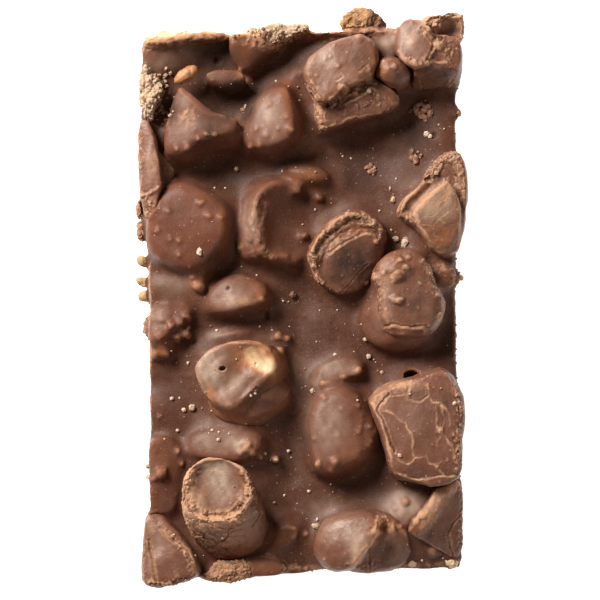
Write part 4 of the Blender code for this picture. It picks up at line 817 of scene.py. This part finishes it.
relief.crack(((6.5, 11.3), (9, 13), (12, 14.5), (14, 15.8), (16.8, 16.2), (18.3, 15.2)), 0.3, 0.35, 0.8)
relief.crack(((10, 2), (14, 7), (16, 8.5)), 0.18, 0.12, 0.25)
relief.bumps((17.9, 14, 0.9), (15.7, 3.7, 1), (3, 8, 1), (4, 5, 0.9), (5, 4, 0.8), worn=0.7)
relief.crumble(((2.4, 9.5), (3.2, 6.5), (5, 4)), 0.9, 0.35, 1, 0.6)
# painted shade on the face, which tilts away from the light, and a redder tone on the crust
relief.paint("painted_shade", (12, 9.3, 5.6, 4.8, 0.9))
relief.paint("red_tone_and_glow", (9, 16.6, 8, 3, 0.6))
relief.paint("wear", (10, 16.6, 6, 1.2, -0.3), (7.4, 18.4, 2.6, 1, 0.5))
relief.scatter(10, 0.3, 0.6, 6)
coated(relief, "chunk_disc")

# ---------------------------------------------------------------- the tall lump right of the middle
# A tall coated marshmallow that stands in the poured chocolate, with drops of chocolate on it. Its
# right edge is flaky, and a lip of shell has split off along its foot.
relief = shell("chunk_middle_right", seed=27)
relief.bump(22.7, 5.2, 1.5, 0.5, 0.15)
relief.crack(((21.6, 4.4), (21.4, 6), (22.6, 7), (23.9, 6.4)), 0.3, 0.15, 0.6)
# painted shade and a redder tone on the right and far side, a little painted sheen on the left
relief.paint("painted_shade", (27, 0, 4.2, 4.6, 0.38), (22, 8.4, 3.4, 2, 0.2))
relief.paint("red_tone_and_glow", (22, 8.4, 3.4, 2, 0.55))
relief.paint("bloom_and_sheen", (20.5, 1.5, 1.8, 5.5, 0.2))
relief.crumble(((17.4, 6.5), (18.6, 2.5), (18.6, -3)), 0.9, 0.25, 0.9, 0.5)
relief.bumps(
    (22.5, -0.2, 1.6), (23.6, 0, 1.2), (23.3, 9.5, 0.9), (24.7, 8, 0.8), (25.3, 10, 0.9),
    (19.5, 6.5, 0.8), (17.5, 5.3, 1), (16.7, 7, 0.8), (16, 3.7, 0.9))
relief.crumble(((30.2, 8), (30.8, 5), (31.5, 3), (33, 1.5), (34, -0.5), (33, -4)), 1.2, 0.4, 1.1, 1)
relief.crack(((19.2, -6.2), (22, -5.8), (24, -6.2), (30, -6.3)), 0.35, 0.4, 0.9)
relief.ridge(((20, -7.5), (24, -8.3), (29, -8)), 0.15, 0.5, 0.4)
relief.paint("wear", (19.6, 5, 1.2, 4.5, 0.45), (20.3, -4, 1.3, 2.2, 0.35))
relief.scatter(12, 0.3, 0.7, 7)
coated(relief, "chunk_middle_right")

# ---------------------------------------------------------------- the cup left of the middle
# A coated marshmallow caved in on top, with one small hole. Its lit slopes carry a painted grey sheen,
# and marshmallow shows cream and gold through it at the far right rim.
relief = shell("chunk_cup", facet=0.22, soft=18, seed=29)
relief.swell(
    (-19.4, -16.2, 3.6, 4.4, 1.9), (-11.6, -17.6, 2.6, 2.2, 1), (-14.8, -20.8, 2.6, 2.4, 1.1),
    (-17.8, -23.4, 2.2, 2, 0.7), (-9.2, -23.4, 3.4, 1.8, 1), (-6.6, -20.6, 2.2, 2.2, 0.7))
relief.ridge(((-21, -11), (-17, -10), (-13, -9.8), (-9.5, -10), (-7.5, -11.5)), 0.12, 0.6, 0.2)
relief.paint(
    "bloom_and_sheen", (-22, -15.2, 3.2, 4.2, 0.95), (-15.4, -19.8, 2, 2.2, 0.65), (-18.4, -22.8, 1.9, 2.2, 0.65),
    (-20.8, -18.8, 2.2, 2.6, 0.6), (-12.4, -17.2, 1.8, 1.2, 0.5), (-18.6, -13, 2, 2, 0.4),
    (-15.8, -13.2, 1.4, 1.8, 0.3))
# a redder tone in places, in part a painted glow of light through the thin shell
relief.paint(
    "red_tone_and_glow", (-15, -13.4, 2.6, 2.8, 1.1), (-17.6, -18.6, 1, 1.4, 0.4), (-21, -24, 1.6, 2.6, 0.6),
    (-16, -28, 8, 2.6, 0.7), (-5, -24.5, 4, 3, 0.6), (-7, -19.5, 3, 3, 0.5), (-5.6, -14.6, 1.6, 2.4, 0.9))
relief.paint(
    "pale", (-11.4, -12, 3.2, 1.3, 0.5), (-9.6, -14.8, 2.6, 1.9, 0.85), (-7.8, -16, 1.6, 1.6, 0.6),
    (-12.6, -14, 1.4, 1.6, 0.3), (-21.4, -21.8, 0.8, 2.2, 0.3), (-6.4, -17.4, 0.8, 1.8, 0.3))
relief.paint("wear", (-18.2, -18.3, 0.5, 0.8, 0.6), (-17.2, -25, 1.6, 0.9, 0.6))
# painted shade on the right side
relief.paint("painted_shade", (-8, -22.5, 4, 4, 0.35))
relief.pit(-18.6, -16.2, 0.75, 0.55, 0.9)
relief.pit(-10.7, -15.3, 0.3, 0.5, 0.3, 0.4)
relief.crumble(((-10.5, -20.8), (-11.5, -22)), 0.7, 0.3, 0.8, 0.5)
coated(relief, "chunk_cup")

# ---------------------------------------------------------------- the cracked block at the right
# A squared marshmallow with a thick, level coat that has crazed all over. A paler plate of shell
# stands along its left and far edges, and its right side, where the knife passed, is crumbly.
relief = shell("chunk_block", facet=0.21, uneven=0.1, seed=31)
relief.crack(
    ((20.5, -22), (19.4, -24), (18, -26), (19.4, -28.6), (20.6, -32), (22, -36)), 0.28, 0.4, 0.15)
relief.paint("wear", (18.2, -23.8, 1.8, 2.8, 0.75), (23.8, -20.2, 4, 1.2, 0.9))
# painted shade on the right and along the near edge, and a little painted sheen on top
relief.paint(
    "painted_shade", (27.4, -22.2, 2, 1.5, 0.3), (34.2, -24.6, 2.4, 3.4, 0.25), (29, -31, 5, 6, 0.16),
    (30, -40.4, 9, 1.6, 0.3))
relief.paint("bloom_and_sheen", (24, -27, 5, 5, 0.12))
relief.ridge(((16.4, -24.5), (18.2, -27.4), (20, -31), (20.6, -35), (21.4, -39.5)), 0.15, 0.5, 0.9)
for path in (((20, -26), (22, -27), (24.5, -29), (25.8, -31), (26.4, -33), (26.4, -36.5)),
             ((22.5, -37.5), (25, -38.7), (27, -37), (29.5, -37), (30.3, -38.7)),
             ((32, -39.2), (33.5, -37.8), (34.5, -37.5)), ((30.3, -38.7), (32, -39.2), (33.5, -41)),
             ((32, -24), (31.8, -27), (32, -30)), ((33, -24.5), (33.5, -29), (33, -30.5)),
             ((33, -24.5), (35, -27), (35, -30)), ((29.8, -20), (30, -22.5), (31, -24), (32.5, -24.2)),
             ((33, -31), (32, -34.5)), ((33, -31), (35.5, -34.5), (36, -37))):
    relief.crack(path, 0.19, 0.08, 0.90, 0.06)
relief.crack(
    ((21, -22.3), (24.5, -22.4), (25.3, -23.5), (28, -23.9), (30, -22.5), (30, -20.5)), 0.22, 0.22)
relief.crack(((25.1, -22), (25.6, -20.6)), 0.3, 0.2, 0.4)
relief.bumps((32.8, -30.8, 1), worn=0.8)
relief.step(((36, -41.3), (30, -42), (27, -42.6), (23.5, -41)), 0.4, 2, 0.7)
relief.crumble(((37, -21), (37.6, -28), (36.9, -33), (37, -40)), 1.1, 0.35, 1, 0.7, shade=0.1)
relief.crack(((35.5, -18.5), (36.6, -23), (37.6, -27)), 0.25, 0.2, 0.6)
relief.scatter(26, 0.25, 0.5, 8)
coated(relief, "chunk_block")

# ---------------------------------------------------------------- the barrel at the near left
# A round coated marshmallow that stands up. A rim of shell runs round its sunken top, which is greyed
# with painted sheen, and its near side is broken into flakes and crumbs.
relief = shell("chunk_barrel", facet=0.21, seed=33)
relief.ridge(
    ((-12.3, -43), (-14, -39.5), (-18, -37.3), (-23, -37.7), (-25.5, -40), (-27, -43), (-26.8, -46),
    (-24.5, -48.8), (-22, -50.3), (-17, -49.5), (-13.3, -47), (-12.3, -43)), 0.2, 0.5, 0.7)
# the left band of the rim, rubbed, with painted sheen where the light falls
for x, y in ((-25.6, -41.4), (-26.2, -44.6), (-25.8, -48.2), (-23.4, -50.0)):
    relief.swell((x, y, 1.2, 2.6, 0.7))
    relief.paint("wear", (x, y, 1.0, 2.2, 0.25))
    relief.paint("bloom_and_sheen", (x, y, 1.0, 2.2, 0.40))
relief.step(((-14.4, -49.6), (-17, -50.6), (-22, -51), (-25, -50)), 0.5, 2.5, 0.8)
relief.crack(((-22, -50.6), (-18, -50.9), (-14.5, -50.6)), 0.28, 0.3, 0.5)
relief.crack(((-21.5, -51.3), (-17.5, -51.6), (-15, -51.2)), 0.28, 0.3, 0.5)
relief.paint("wear", (-19.6, -51.2, 6, 2, 1), (-21.4, -53.2, 6, 1.6, 0.35), (-19, -58.4, 8, 3.6, -0.55))
# the near side, which lies in shade, painted a redder tone
relief.paint("red_tone_and_glow", (-19.6, -56, 8, 4.6, 0.75))
relief.crumble(((-25, -52.4), (-19, -53.4), (-14.6, -51.8)), 1.3, 0.6, 1.5, 0.9)
relief.crumble(
    ((-25, -55.4), (-20, -57), (-15.5, -56)), 2.4, 0.75, 3.3, 0.22, seed=22, fine=0.12, shade=0.5)
# painted sheen on the sunken top
relief.paint(
    "bloom_and_sheen", (-18.2, -46, 1.9, 3, 0.25), (-19.2, -42.6, 2, 2.6, 0.4), (-20.4, -39, 3.4, 1.4, 0.75),
    (-19.6, -43.4, 5.6, 6, 0.35))
relief.crumble(
    ((-25.2, -40.4), (-27, -44), (-26.6, -47.6), (-23.6, -50.4), (-18.4, -51), (-14.4, -49.4)), 1.3, 0.55,
    1, 0.3, seed=26, shade=0.45)
relief.crumble(((-13, -47.6), (-11.6, -44.2), (-12.6, -40.6)), 0.9, 0.45, 0.8, 0.35, seed=27, shade=0.3)
for x, y in ((-14.2, -41.0), (-13.6, -44.0), (-15.0, -47.0), (-22.8, -45.4)):
    relief.paint("red_tone_and_glow", (x, y, 1.3, 1.8, 0.45))
relief.paint("red_tone_and_glow", (-12, -57, 4, 5, 0.35))
relief.crumble(((-28.6, -46), (-28.2, -50), (-26, -55), (-23, -58)), 0.9, 0.5, 1.1)
relief.crumble(((-22, -59.5), (-17, -60.5)), 1.8, 0.65, 2.8, 0.2, seed=25, fine=0.12, shade=0.4)
relief.crumble(((-12, -40), (-11.3, -43), (-11, -48)), 0.6, 0.3, 0.9, 0.6)
relief.paint("wear", (-27.4, -44.6, 2, 6.8, 1.2), (-24.6, -46.5, 1.2, 1.4, 0.4))
relief.crack(((-14, -48.5), (-12.6, -46), (-12, -43.2)), 0.3, 0.4, 0.6)
relief.crack(((-11.8, -53.5), (-10.2, -52), (-9.5, -50.5)), 0.3, 0.3, 0.3)
# painted shade on the right side
relief.paint("painted_shade", (-11.5, -56, 3.4, 4, 0.15), (-12, -46.4, 1.2, 3.6, 0.35))
relief.paint("red_tone_and_glow", (-12, -46.4, 1.4, 3.6, 0.35))
relief.scatter(14, 0.3, 0.6, 9)
coated(relief, "chunk_barrel")

# ---------------------------------------------------------------- the lump at the near left corner
# A coated lump that the knife cut on two sides. One split runs down beside its left cut and another
# crosses its top, and its near foot is crumbly.
relief = shell("chunk_bottom_left", seed=35)
relief.crack(((-35.9, -57), (-35.5, -61), (-35, -64), (-34.5, -66.5)), 0.4, 0.5, 0.8)
relief.crack(((-33.5, -54), (-31, -56.5), (-28, -59), (-26, -62)), 0.35, 0.35, 0.7)
relief.crumble(((-36, -67.4), (-31, -67.4), (-27, -66.6)), 1, 0.6, 1.2, 0.5)
relief.crumble(((-29.5, -65), (-28.6, -66)), 0.7, 0.4, 0.8)
relief.crumble(
    ((-32.6, -54.4), (-29.4, -57.6), (-26.8, -61.4), (-26, -64.6)), 0.7, 0.35, 0.8, 0.5, seed=27,
    shade=0.3)
relief.paint("wear", (-31.8, -59.5, 2.4, 0.8, 0.2), (-35.6, -54.2, 1.2, 1.8, 0.3))
# painted sheen on the left slopes and a little painted shade on the right
relief.paint("bloom_and_sheen", (-33.6, -57.8, 1.8, 3.4, 0.38), (-35.4, -63, 1.2, 3.2, 0.35))
relief.paint("painted_shade", (-30.4, -61, 3, 3.6, 0.15))
relief.crumble(((-37.4, -57), (-37.6, -62), (-37.2, -66)), 0.6, 0.3, 1, 0.5)
coated(relief, "chunk_bottom_left")

# ---------------------------------------------------------------- the lump in the middle of the near edge
# A coated lump that the knife cut through: the level round of its cut end shows inside a tan rim, and
# is a little darker with painted shade. Its left part slopes down with a painted grey sheen, and drops
# of chocolate lie on its far side.
relief = shell("chunk_bottom", seed=37)
relief.ridge(((18.5, -55), (16.5, -57), (14, -60), (12, -62.5)), 0.3, 0.8, 1)
relief.paint("pale", (16.6, -57.2, 0.9, 1.6, 0.35))
relief.ridge(((20, -53), (24, -54), (25.4, -56.5), (25.7, -60)), 0.15, 0.6, 0.7)
relief.swell((20.4, -55.6, 2, 1.5, 1.2))
relief.paint("bloom_and_sheen", (20.4, -55.6, 1.6, 1.2, 0.25), (21.4, -60.2, 4, 4, 0.12))
relief.paint("painted_shade", (21.4, -60.2, 4.2, 4.2, 0.1))
relief.paint("red_tone_and_glow", (21, -54.8, 4.2, 2, 0.9), (4.4, -60, 2, 4.4, 0.25))
relief.paint("pale", (18.8, -53, 1.8, 1.3, 0.4))
relief.crack(((16.1, -58.5), (16.1, -61.5), (16.2, -64.5)), 0.3, 0.2, 0.4)
relief.crack(((17.2, -63), (17.6, -62), (19.2, -62.3)), 0.25, 0.15, 0.4)
relief.bumps((18.5, -52.1, 1.2), (17.4, -54.6, 1.2), (19.8, -52, 0.9), (21.4, -54.6, 1.3), worn=0.95)
# painted sheen on the lit left part
relief.paint("bloom_and_sheen", (9, -54.4, 4.4, 3, 0.42), (13.6, -58, 2.2, 3.6, 0.95))
relief.paint("painted_shade", (5, -59.4, 2.2, 3, 0.25))
relief.paint("wear", (13.8, -58.2, 1.8, 3.2, 0.45), (16, -55, 0.8, 0.6, 0.6))
relief.crumble(((10.5, -62.3), (14, -63), (15.5, -64)), 0.8, 0.3, 1, 0.5)
relief.crumble(((17, -53.4), (19.6, -52.8), (22.4, -54.2)), 1, 0.45, 1.1, 0.3, seed=27, shade=0.15)
relief.scatter(8, 0.3, 0.6, 10)
coated(relief, "chunk_bottom")

# ---------------------------------------------------------------- the lump at the near right
# A coated lump with a broad, rubbed crest along its far left side, paler with painted sheen where the
# light falls. Its right side, where the knife passed, is split and crumbly.
relief = shell("chunk_bottom_right", seed=39)
relief.ridge(((36.4, -44.2), (33.8, -46.6), (31.6, -50), (29.2, -53.4)), 0.9, 1.7, 0.45)
relief.bumps((28.6, -51, 1.2), (27.3, -52.4, 1), worn=0.95)
for x, y, across, along in ((34.6, -44.6, 2.6, 1.8), (32.0, -47.0, 2.0, 2.6), (29.8, -50.4, 1.8, 2.6)):
    relief.paint("bloom_and_sheen", (x, y, 0.8 * across, 0.8 * along, 0.45))
    relief.paint("wear", (x, y, across, along, 0.40))
relief.crack(((38, -51), (36.5, -53), (35.2, -55.4), (35.5, -59), (36.5, -61)), 0.3, 0.35, 0.5)
relief.crack(((30, -54.5), (33, -56.2), (35.2, -56)), 0.25, 0.1, 0.35)
# painted shade and a redder tone on the right side, away from the light
relief.paint("painted_shade", (34.6, -54, 2.4, 6, 0.5), (30.4, -56, 3, 1.8, 0.45))
relief.paint("red_tone_and_glow", (28.6, -53.2, 3, 1.8, 0.6), (34.4, -51.4, 2.6, 4.6, 0.6))
relief.paint("wear", (31.6, -60.3, 1.4, 0.9, 0.5))
relief.crumble(((38, -45), (38.3, -52), (38, -60)), 0.7, 0.3, 1, 0.4)
coated(relief, "chunk_bottom_right")

# ---------------------------------------------------------------- biscuit, flakes and grains at the edges
# Broken biscuit and puffed grain that the knife and the pouring left at the slab's edges: dry, open
# crumb, cream on the outside of each grain and brown in the gaps, where painted shade darkens it more.
CRUMB_FACET = 0.22
BISCUIT = (0.520, 0.380, 0.258)
BISCUIT_GAP = (0.290, 0.165, 0.098)
BAKED = (0.390, 0.205, 0.112)
BAKED_GAP = (0.200, 0.095, 0.048)
PALE = (0.740, 0.600, 0.400)
PALE_GAP = (0.620, 0.450, 0.260)
BROWN = (0.170, 0.076, 0.042)


def crumb_finish(name, light, gap, brown, share_brown, roughness=0.85):
    """A dry crumb: light on its grains, darker in the gaps as painted shade, some grains brown all through.
    """
    material = bpy.data.materials.new(name)
    material.use_nodes = True
    tree = material.node_tree
    place = put(tree, "ShaderNodeTexCoord").outputs["Object"]
    speckle = noise(tree, place, 0.8)
    tone = blend_colour(tree, spread(tree, speckle, 0.35, 0.65, 0.0, 0.5), light, gap)
    tone = blend_colour(tree, mark(tree, "painted_shade"), tone, gap)
    chosen = spread(tree, mark(tree, "pale"), share_brown + 0.05, share_brown - 0.05)
    tone = blend_colour(tree, chosen, tone, brown)
    shader = tree.nodes["Principled BSDF"]
    bump = put(tree, "ShaderNodeBump", {"Height": noise(tree, place, 0.35), "Strength": 0.5,
                                        "Distance": 0.2 * MM})
    tree.links.new(tone, shader.inputs["Base Color"])
    tree.links.new(bump.outputs[0], shader.inputs["Normal"])
    shader.inputs["Roughness"].default_value = roughness
    return material


BISCUIT_CRUMB = crumb_finish("biscuit_crumb", BISCUIT, BISCUIT_GAP, BROWN, 0.18)
BAKED_CRUMB = crumb_finish("baked_crumb", BAKED, BAKED_GAP, BROWN, 0.25)
BROKEN = crumb_finish("broken_chocolate", (0.330, 0.175, 0.105), (0.130, 0.056, 0.032), BROWN,
                      0.30, 0.6)
SPECK = crumb_finish("speck", (0.640, 0.500, 0.380), (0.420, 0.290, 0.190),
                     (0.300, 0.160, 0.090), 0.20)
GOLDEN = crumb_finish("golden_crumb", (0.440, 0.250, 0.112), (0.240, 0.115, 0.048), BROWN, 0.15)
THIN_FLAKE = crumb_finish("thin_flake", (0.440, 0.305, 0.150), (0.360, 0.220, 0.095),
                          (0.420, 0.275, 0.130), 0.10)
PALE_CRUMB = crumb_finish("pale_crumb", PALE, PALE_GAP, PALE_GAP, 0.12)
TOASTED = crumb_finish("toasted_grain", (0.430, 0.200, 0.088), (0.260, 0.090, 0.030),
                       (0.400, 0.170, 0.070), 0.20, 0.45)


def crumbly(node, material, slot, size, depth, seed, brown_from=99.0, fuller=0.0):
    """An edge piece from its solid, worked into packed grains; right of brown_from they are brown."""
    piece = copy_of(node, node + "_crumb")
    even_out(piece, CRUMB_FACET, 4)
    relief = Relief(piece)
    sway = np.stack([ripple(relief.co, 2.0 * size, i) for i in (2, 3, 4)], axis=1)
    warped = relief.co + 0.3 * size * sway
    inside, number = grains(warped, size, seed)
    small, _ = grains(warped, 0.45 * size, seed + 1)
    relief.push(depth * (inside ** 0.6 - 0.85 + 0.7 * (number - 0.6)) + 0.35 * depth * (small ** 0.6 - 0.7)
                + fuller)
    # painted shade in the gaps between the grains
    relief.marks["painted_shade"] = np.clip(0.7 - 2.0 * inside, 0, 1)
    relief.marks["pale"] = number * np.clip(1 - (relief.co[:, 0] - brown_from) / 1.5, 0.15, 1)
    relief.done()
    finished(piece, material, slot, node)


crumbly("biscuit_left", BISCUIT_CRUMB, "biscuit", 1.0, 0.60, 40)
crumbly("biscuit_top", BISCUIT_CRUMB, "biscuit", 1.1, 0.40, 41)
crumbly("biscuit_bottom", BAKED_CRUMB, "biscuit", 0.9, 0.40, 42)
crumbly("crumb_top", GOLDEN, "biscuit", 1.1, 0.40, 43, brown_from=14.6)
for seed, node in enumerate(("crumb_left_1", "crumb_left_2", "crumb_left_3", "crumb_right_2")):
    crumbly(node, BAKED_CRUMB, "biscuit", 1.2, 0.40, 44 + seed)
for seed, node in enumerate(("biscuit_top_left", "biscuit_corner", "crumb_right_1")):
    crumbly(node, PALE_CRUMB, "pale_flake", 1.1, 0.25, 60 + seed)
for seed, node in enumerate(("flake_left_1", "flake_left_2", "flake_left_3")):
    crumbly(node, THIN_FLAKE, "pale_flake", 2.6, 0.10, 64 + seed)
crumbly("grain_top_left", TOASTED, "puffed_grain", 2.2, 0.08, 70, fuller=0.25)

# ---------------------------------------------------------------- crumbs and specks on top
# Biscuit dust and small crumbs that fell on the chocolate and stuck to its cut sides: pale specks,
# loose biscuit, a few tan crumbs, cream flakes and brown curls of broken chocolate.
FALL_FROM = 60.0
ON_TABLE = 0.4                # a crumb that missed the slab lies about this high
ROUND = 0.05                  # a crumb as long as it is wide, within this, is turned at random
SUNK = 0.25                   # the share of a crumb that is stuck in the chocolate
FINE_DUST = 170
ALONG_THE_CUT = 260


def top_at(x, y):
    """How high the surface stands at a place in plan."""
    hits = [tree.ray_cast(Vector((x, y, FALL_FROM)) * MM, Vector((0, 0, -1)))[0] for tree in surfaces]
    heights = [hit.z / MM for hit in hits if hit is not None]
    return max(heights) if heights else None


def crumbs(name, material, places, rough, detail=1, flat=0.8):
    """All crumbs of one kind as one mesh. Each has its place, half its width and half its length, and
    its height where it doesn't lie on top."""
    bpy.ops.object.select_all(action="DESELECT")
    bpy.ops.mesh.primitive_ico_sphere_add(subdivisions=detail, radius=1.0, location=(0, 0, 0))
    item = bpy.context.object
    item.name = name
    base = np.array([tuple(v.co) for v in item.data.vertices])
    faces = np.array([tuple(p.vertices) for p in item.data.polygons])
    draw = np.random.default_rng(len(places) + int(100 * rough))
    all_points, all_faces, tones = [], [], []
    for x, y, across, along, *level in places:
        top = level[0] if level else top_at(x, y)
        if top is None:
            top = ON_TABLE
        shape = base * (1 + rough * draw.uniform(-1, 1, (len(base), 1)))
        turn = draw.uniform(0, 2 * math.pi)
        shape = shape * (across, along, flat * min(across, along))
        if abs(across - along) < ROUND:
            shape[:, :2] = shape[:, :2] @ np.array([[math.cos(turn), -math.sin(turn)],
                                                    [math.sin(turn), math.cos(turn)]])
        lift = (1 - 2 * SUNK) * flat * min(across, along)
        all_faces.append(faces + len(base) * len(all_points))
        all_points.append(shape + (x, y, top + lift))
        tones.append(np.full(len(base), draw.uniform(0, 1)))
    mesh = bpy.data.meshes.new(name)
    mesh.from_pydata((np.concatenate(all_points) * MM).tolist(), [], np.concatenate(all_faces).tolist())
    mesh.attributes.new("pale", "FLOAT", "POINT").data.foreach_set("value", np.concatenate(tones))
    item.data = mesh
    mesh.materials.append(material)
    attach(item, "root")


# pale specks by their place, then bolder ones with their radius too
SPECKS = (
    (-6, 52.5), (-3, 51), (-0.7, 51), (-0.4, 47.8), (-30.4, 48.7), (33, 42), (34.3, 41), (17.4, 36.5),
    (12, 34.1), (10, 34.6), (3.4, 30.6), (22.8, 29.1), (11.4, 21.4), (18.8, 21.4), (3.4, 21.7),
    (0.4, 18.1), (21.6, 16.8), (-10.6, 6), (-14.3, 8), (-20.7, 26.9), (-18.2, 26.9), (-4.5, 30.9),
    (-4.3, -0.2), (-3, -0.4), (-32.3, -10.2), (-31.1, -12.2), (-21.7, -6.2), (-9.9, -6.4), (-7, -7.2),
    (-2.8, -6.4), (-34.4, -0.6), (-22.9, 0.5), (-23.7, -25.9), (-21.4, -26.5), (-28, -28), (-23.7, -31.1),
    (-22, -31.8), (-17.2, -31.9), (-32.6, -33.2), (-15.3, -14), (-22.6, -21.9), (4.5, -2.5), (8.7, -2.4),
    (14.4, -5.8), (3.7, -10), (12.7, -12.4), (17.5, -14.3), (18.4, -17), (1, -16.5), (1.1, -20.7),
    (13.4, -23.8), (25.8, -21.3), (25.7, -22.2), (33, -20.8), (34.2, -17.5), (7.7, -46.1), (7.1, -44.2),
    (25, -43.8), (-4, -47), (-15.8, -43.9), (-25.2, -60.8), (-30.2, -55.7), (29, -62.5), (34, -61.9),
    (30.8, 31.6), (-29.2, -23.5), (-2.4, -37.9), (-11.8, -39.7))
BOLD = (
    (-27.1, -15.1, 0.5), (-20.2, -7.3, 0.4), (-31, -23.6, 0.5), (-28.1, -26.3, 0.55),
    (-29.5, -31.3, 0.55), (-21.2, -31.1, 0.45), (-19.7, -33.3, 0.55), (-11.9, -22.6, 0.4),
    (-10.9, -22.1, 0.4), (-8.6, -36.7, 0.45), (-3, -36.4, 0.5), (8.1, -13.1, 0.45), (16.2, -13.5, 0.6),
    (19.4, -17.3, 0.45), (23.2, -36.6, 0.6), (36.2, -24.4, 0.6), (1.9, -46, 0.5), (3.9, -52.7, 0.5),
    (-18.6, -56.3, 0.45), (32, 30.1, 0.6), (16, 49.6, 0.7), (24.9, 13.9, 0.9), (-6.4, -48.7, 0.4),
    (-19.6, -31.5, 0.35))
draw = np.random.default_rng(4)


def round_crumb(low, high):
    """Half the width and half the length of a crumb that is as wide as it is long."""
    return [draw.uniform(low, high)] * 2


dust = [(*spot, *round_crumb(0.20, 0.32)) for spot in SPECKS] + [(x, y, r, r) for x, y, r in BOLD]
dust += [(draw.uniform(-35, 35.5), draw.uniform(-63, 62), *round_crumb(0.08, 0.16))
         for _ in range(FINE_DUST)]
crumbs("specks", SPECK, dust, 0.25)
cut = [(*cut_walls[i, :2], *round_crumb(0.12, 0.38), cut_walls[i, 2])
       for i in draw.choice(len(cut_walls), ALONG_THE_CUT, replace=False)]
crumbs("cut_crumbs", BAKED_CRUMB, cut, 0.25)
loose = [(draw.normal(-33.0, 0.8), draw.uniform(42, 56), *round_crumb(0.20, 0.50)) for _ in range(50)]
loose += [(draw.normal(-8, 5), draw.normal(63.6, 0.7), *round_crumb(0.20, 0.50)) for _ in range(36)]
crumbs("loose_biscuit", BISCUIT_CRUMB, loose, 0.28, 2, 0.9)
TAN_CRUMBS = (
    (-26.1, -25.8, 0.85, 0.85), (2.8, -21.7, 0.75, 0.7), (-2, 1.3, 0.85, 0.8), (-15.5, 31.5, 0.6, 0.6),
    (15.4, -9.4, 0.6, 0.5), (22.7, 14.6, 0.8, 0.75), (21.4, 26.7, 0.3, 0.5), (22, 24, 0.6, 0.8),
    (26.7, -63.3, 1.1, 0.8), (3.6, -54.2, 0.9, 0.8), (-6, -38.3, 0.5, 0.35), (37.4, -11, 0.4, 0.5),
    (37.3, -15.2, 0.3, 0.4), (-37.3, -40.5, 0.6, 0.6), (30.2, -65, 0.4, 0.45), (-31.7, 64.6, 0.45, 0.4))
crumbs("tan_crumbs", BISCUIT_CRUMB, TAN_CRUMBS, 0.22, 2, 0.9)
CREAM_FLAKES = (
    (30.1, 39.8, 0.8, 0.7), (31, 39.2, 0.5, 0.5), (25, 14.6, 0.7, 0.6), (24.6, 13, 0.6, 0.5),
    (-24, 11.4, 0.6, 0.9), (-14, 45.8, 0.6, 0.5), (-13.4, 46.6, 0.3, 0.5), (3, -54, 0.5, 0.4),
    (21.3, 65.6, 0.5, 0.5), (-37.2, -43, 0.6, 0.7))
crumbs("cream_flakes", SPECK, CREAM_FLAKES, 0.30, 2, 0.7)
BROWN_CURLS = [
    (27.6, 45.8, 0.7, 1.4), (28.6, 47, 1.1, 0.6), (30.2, 46.4, 1.1, 0.7), (31, 44.8, 0.7, 1),
    (29.4, 44, 1.3, 0.6), (29.6, 45.6, 0.9, 0.8), (28.4, 44.8, 0.6, 0.6), (26.8, 35.4, 0.8, 1),
    (27.5, 33.6, 0.7, 1.2), (26.6, 34.2, 0.6, 0.9), (27.3, 34.8, 0.5, 0.6), (16, 31.8, 0.8, 0.6),
    (17.3, 31, 0.8, 0.7), (16.9, 32.2, 0.6, 0.5), (16.4, 30.8, 0.5, 0.6), (17.7, 31.8, 0.4, 0.5)]
for x, y, reach, count in ((29.4, 45.4, 1.3, 26), (27.1, 34.4, 0.9, 14), (16.8, 31.4, 0.8, 12)):
    BROWN_CURLS += [(draw.normal(x, reach), draw.normal(y, reach), *round_crumb(0.20, 0.45))
                    for _ in range(count)]
crumbs("brown_curls", BROKEN, BROWN_CURLS, 0.25, 2, 0.9)
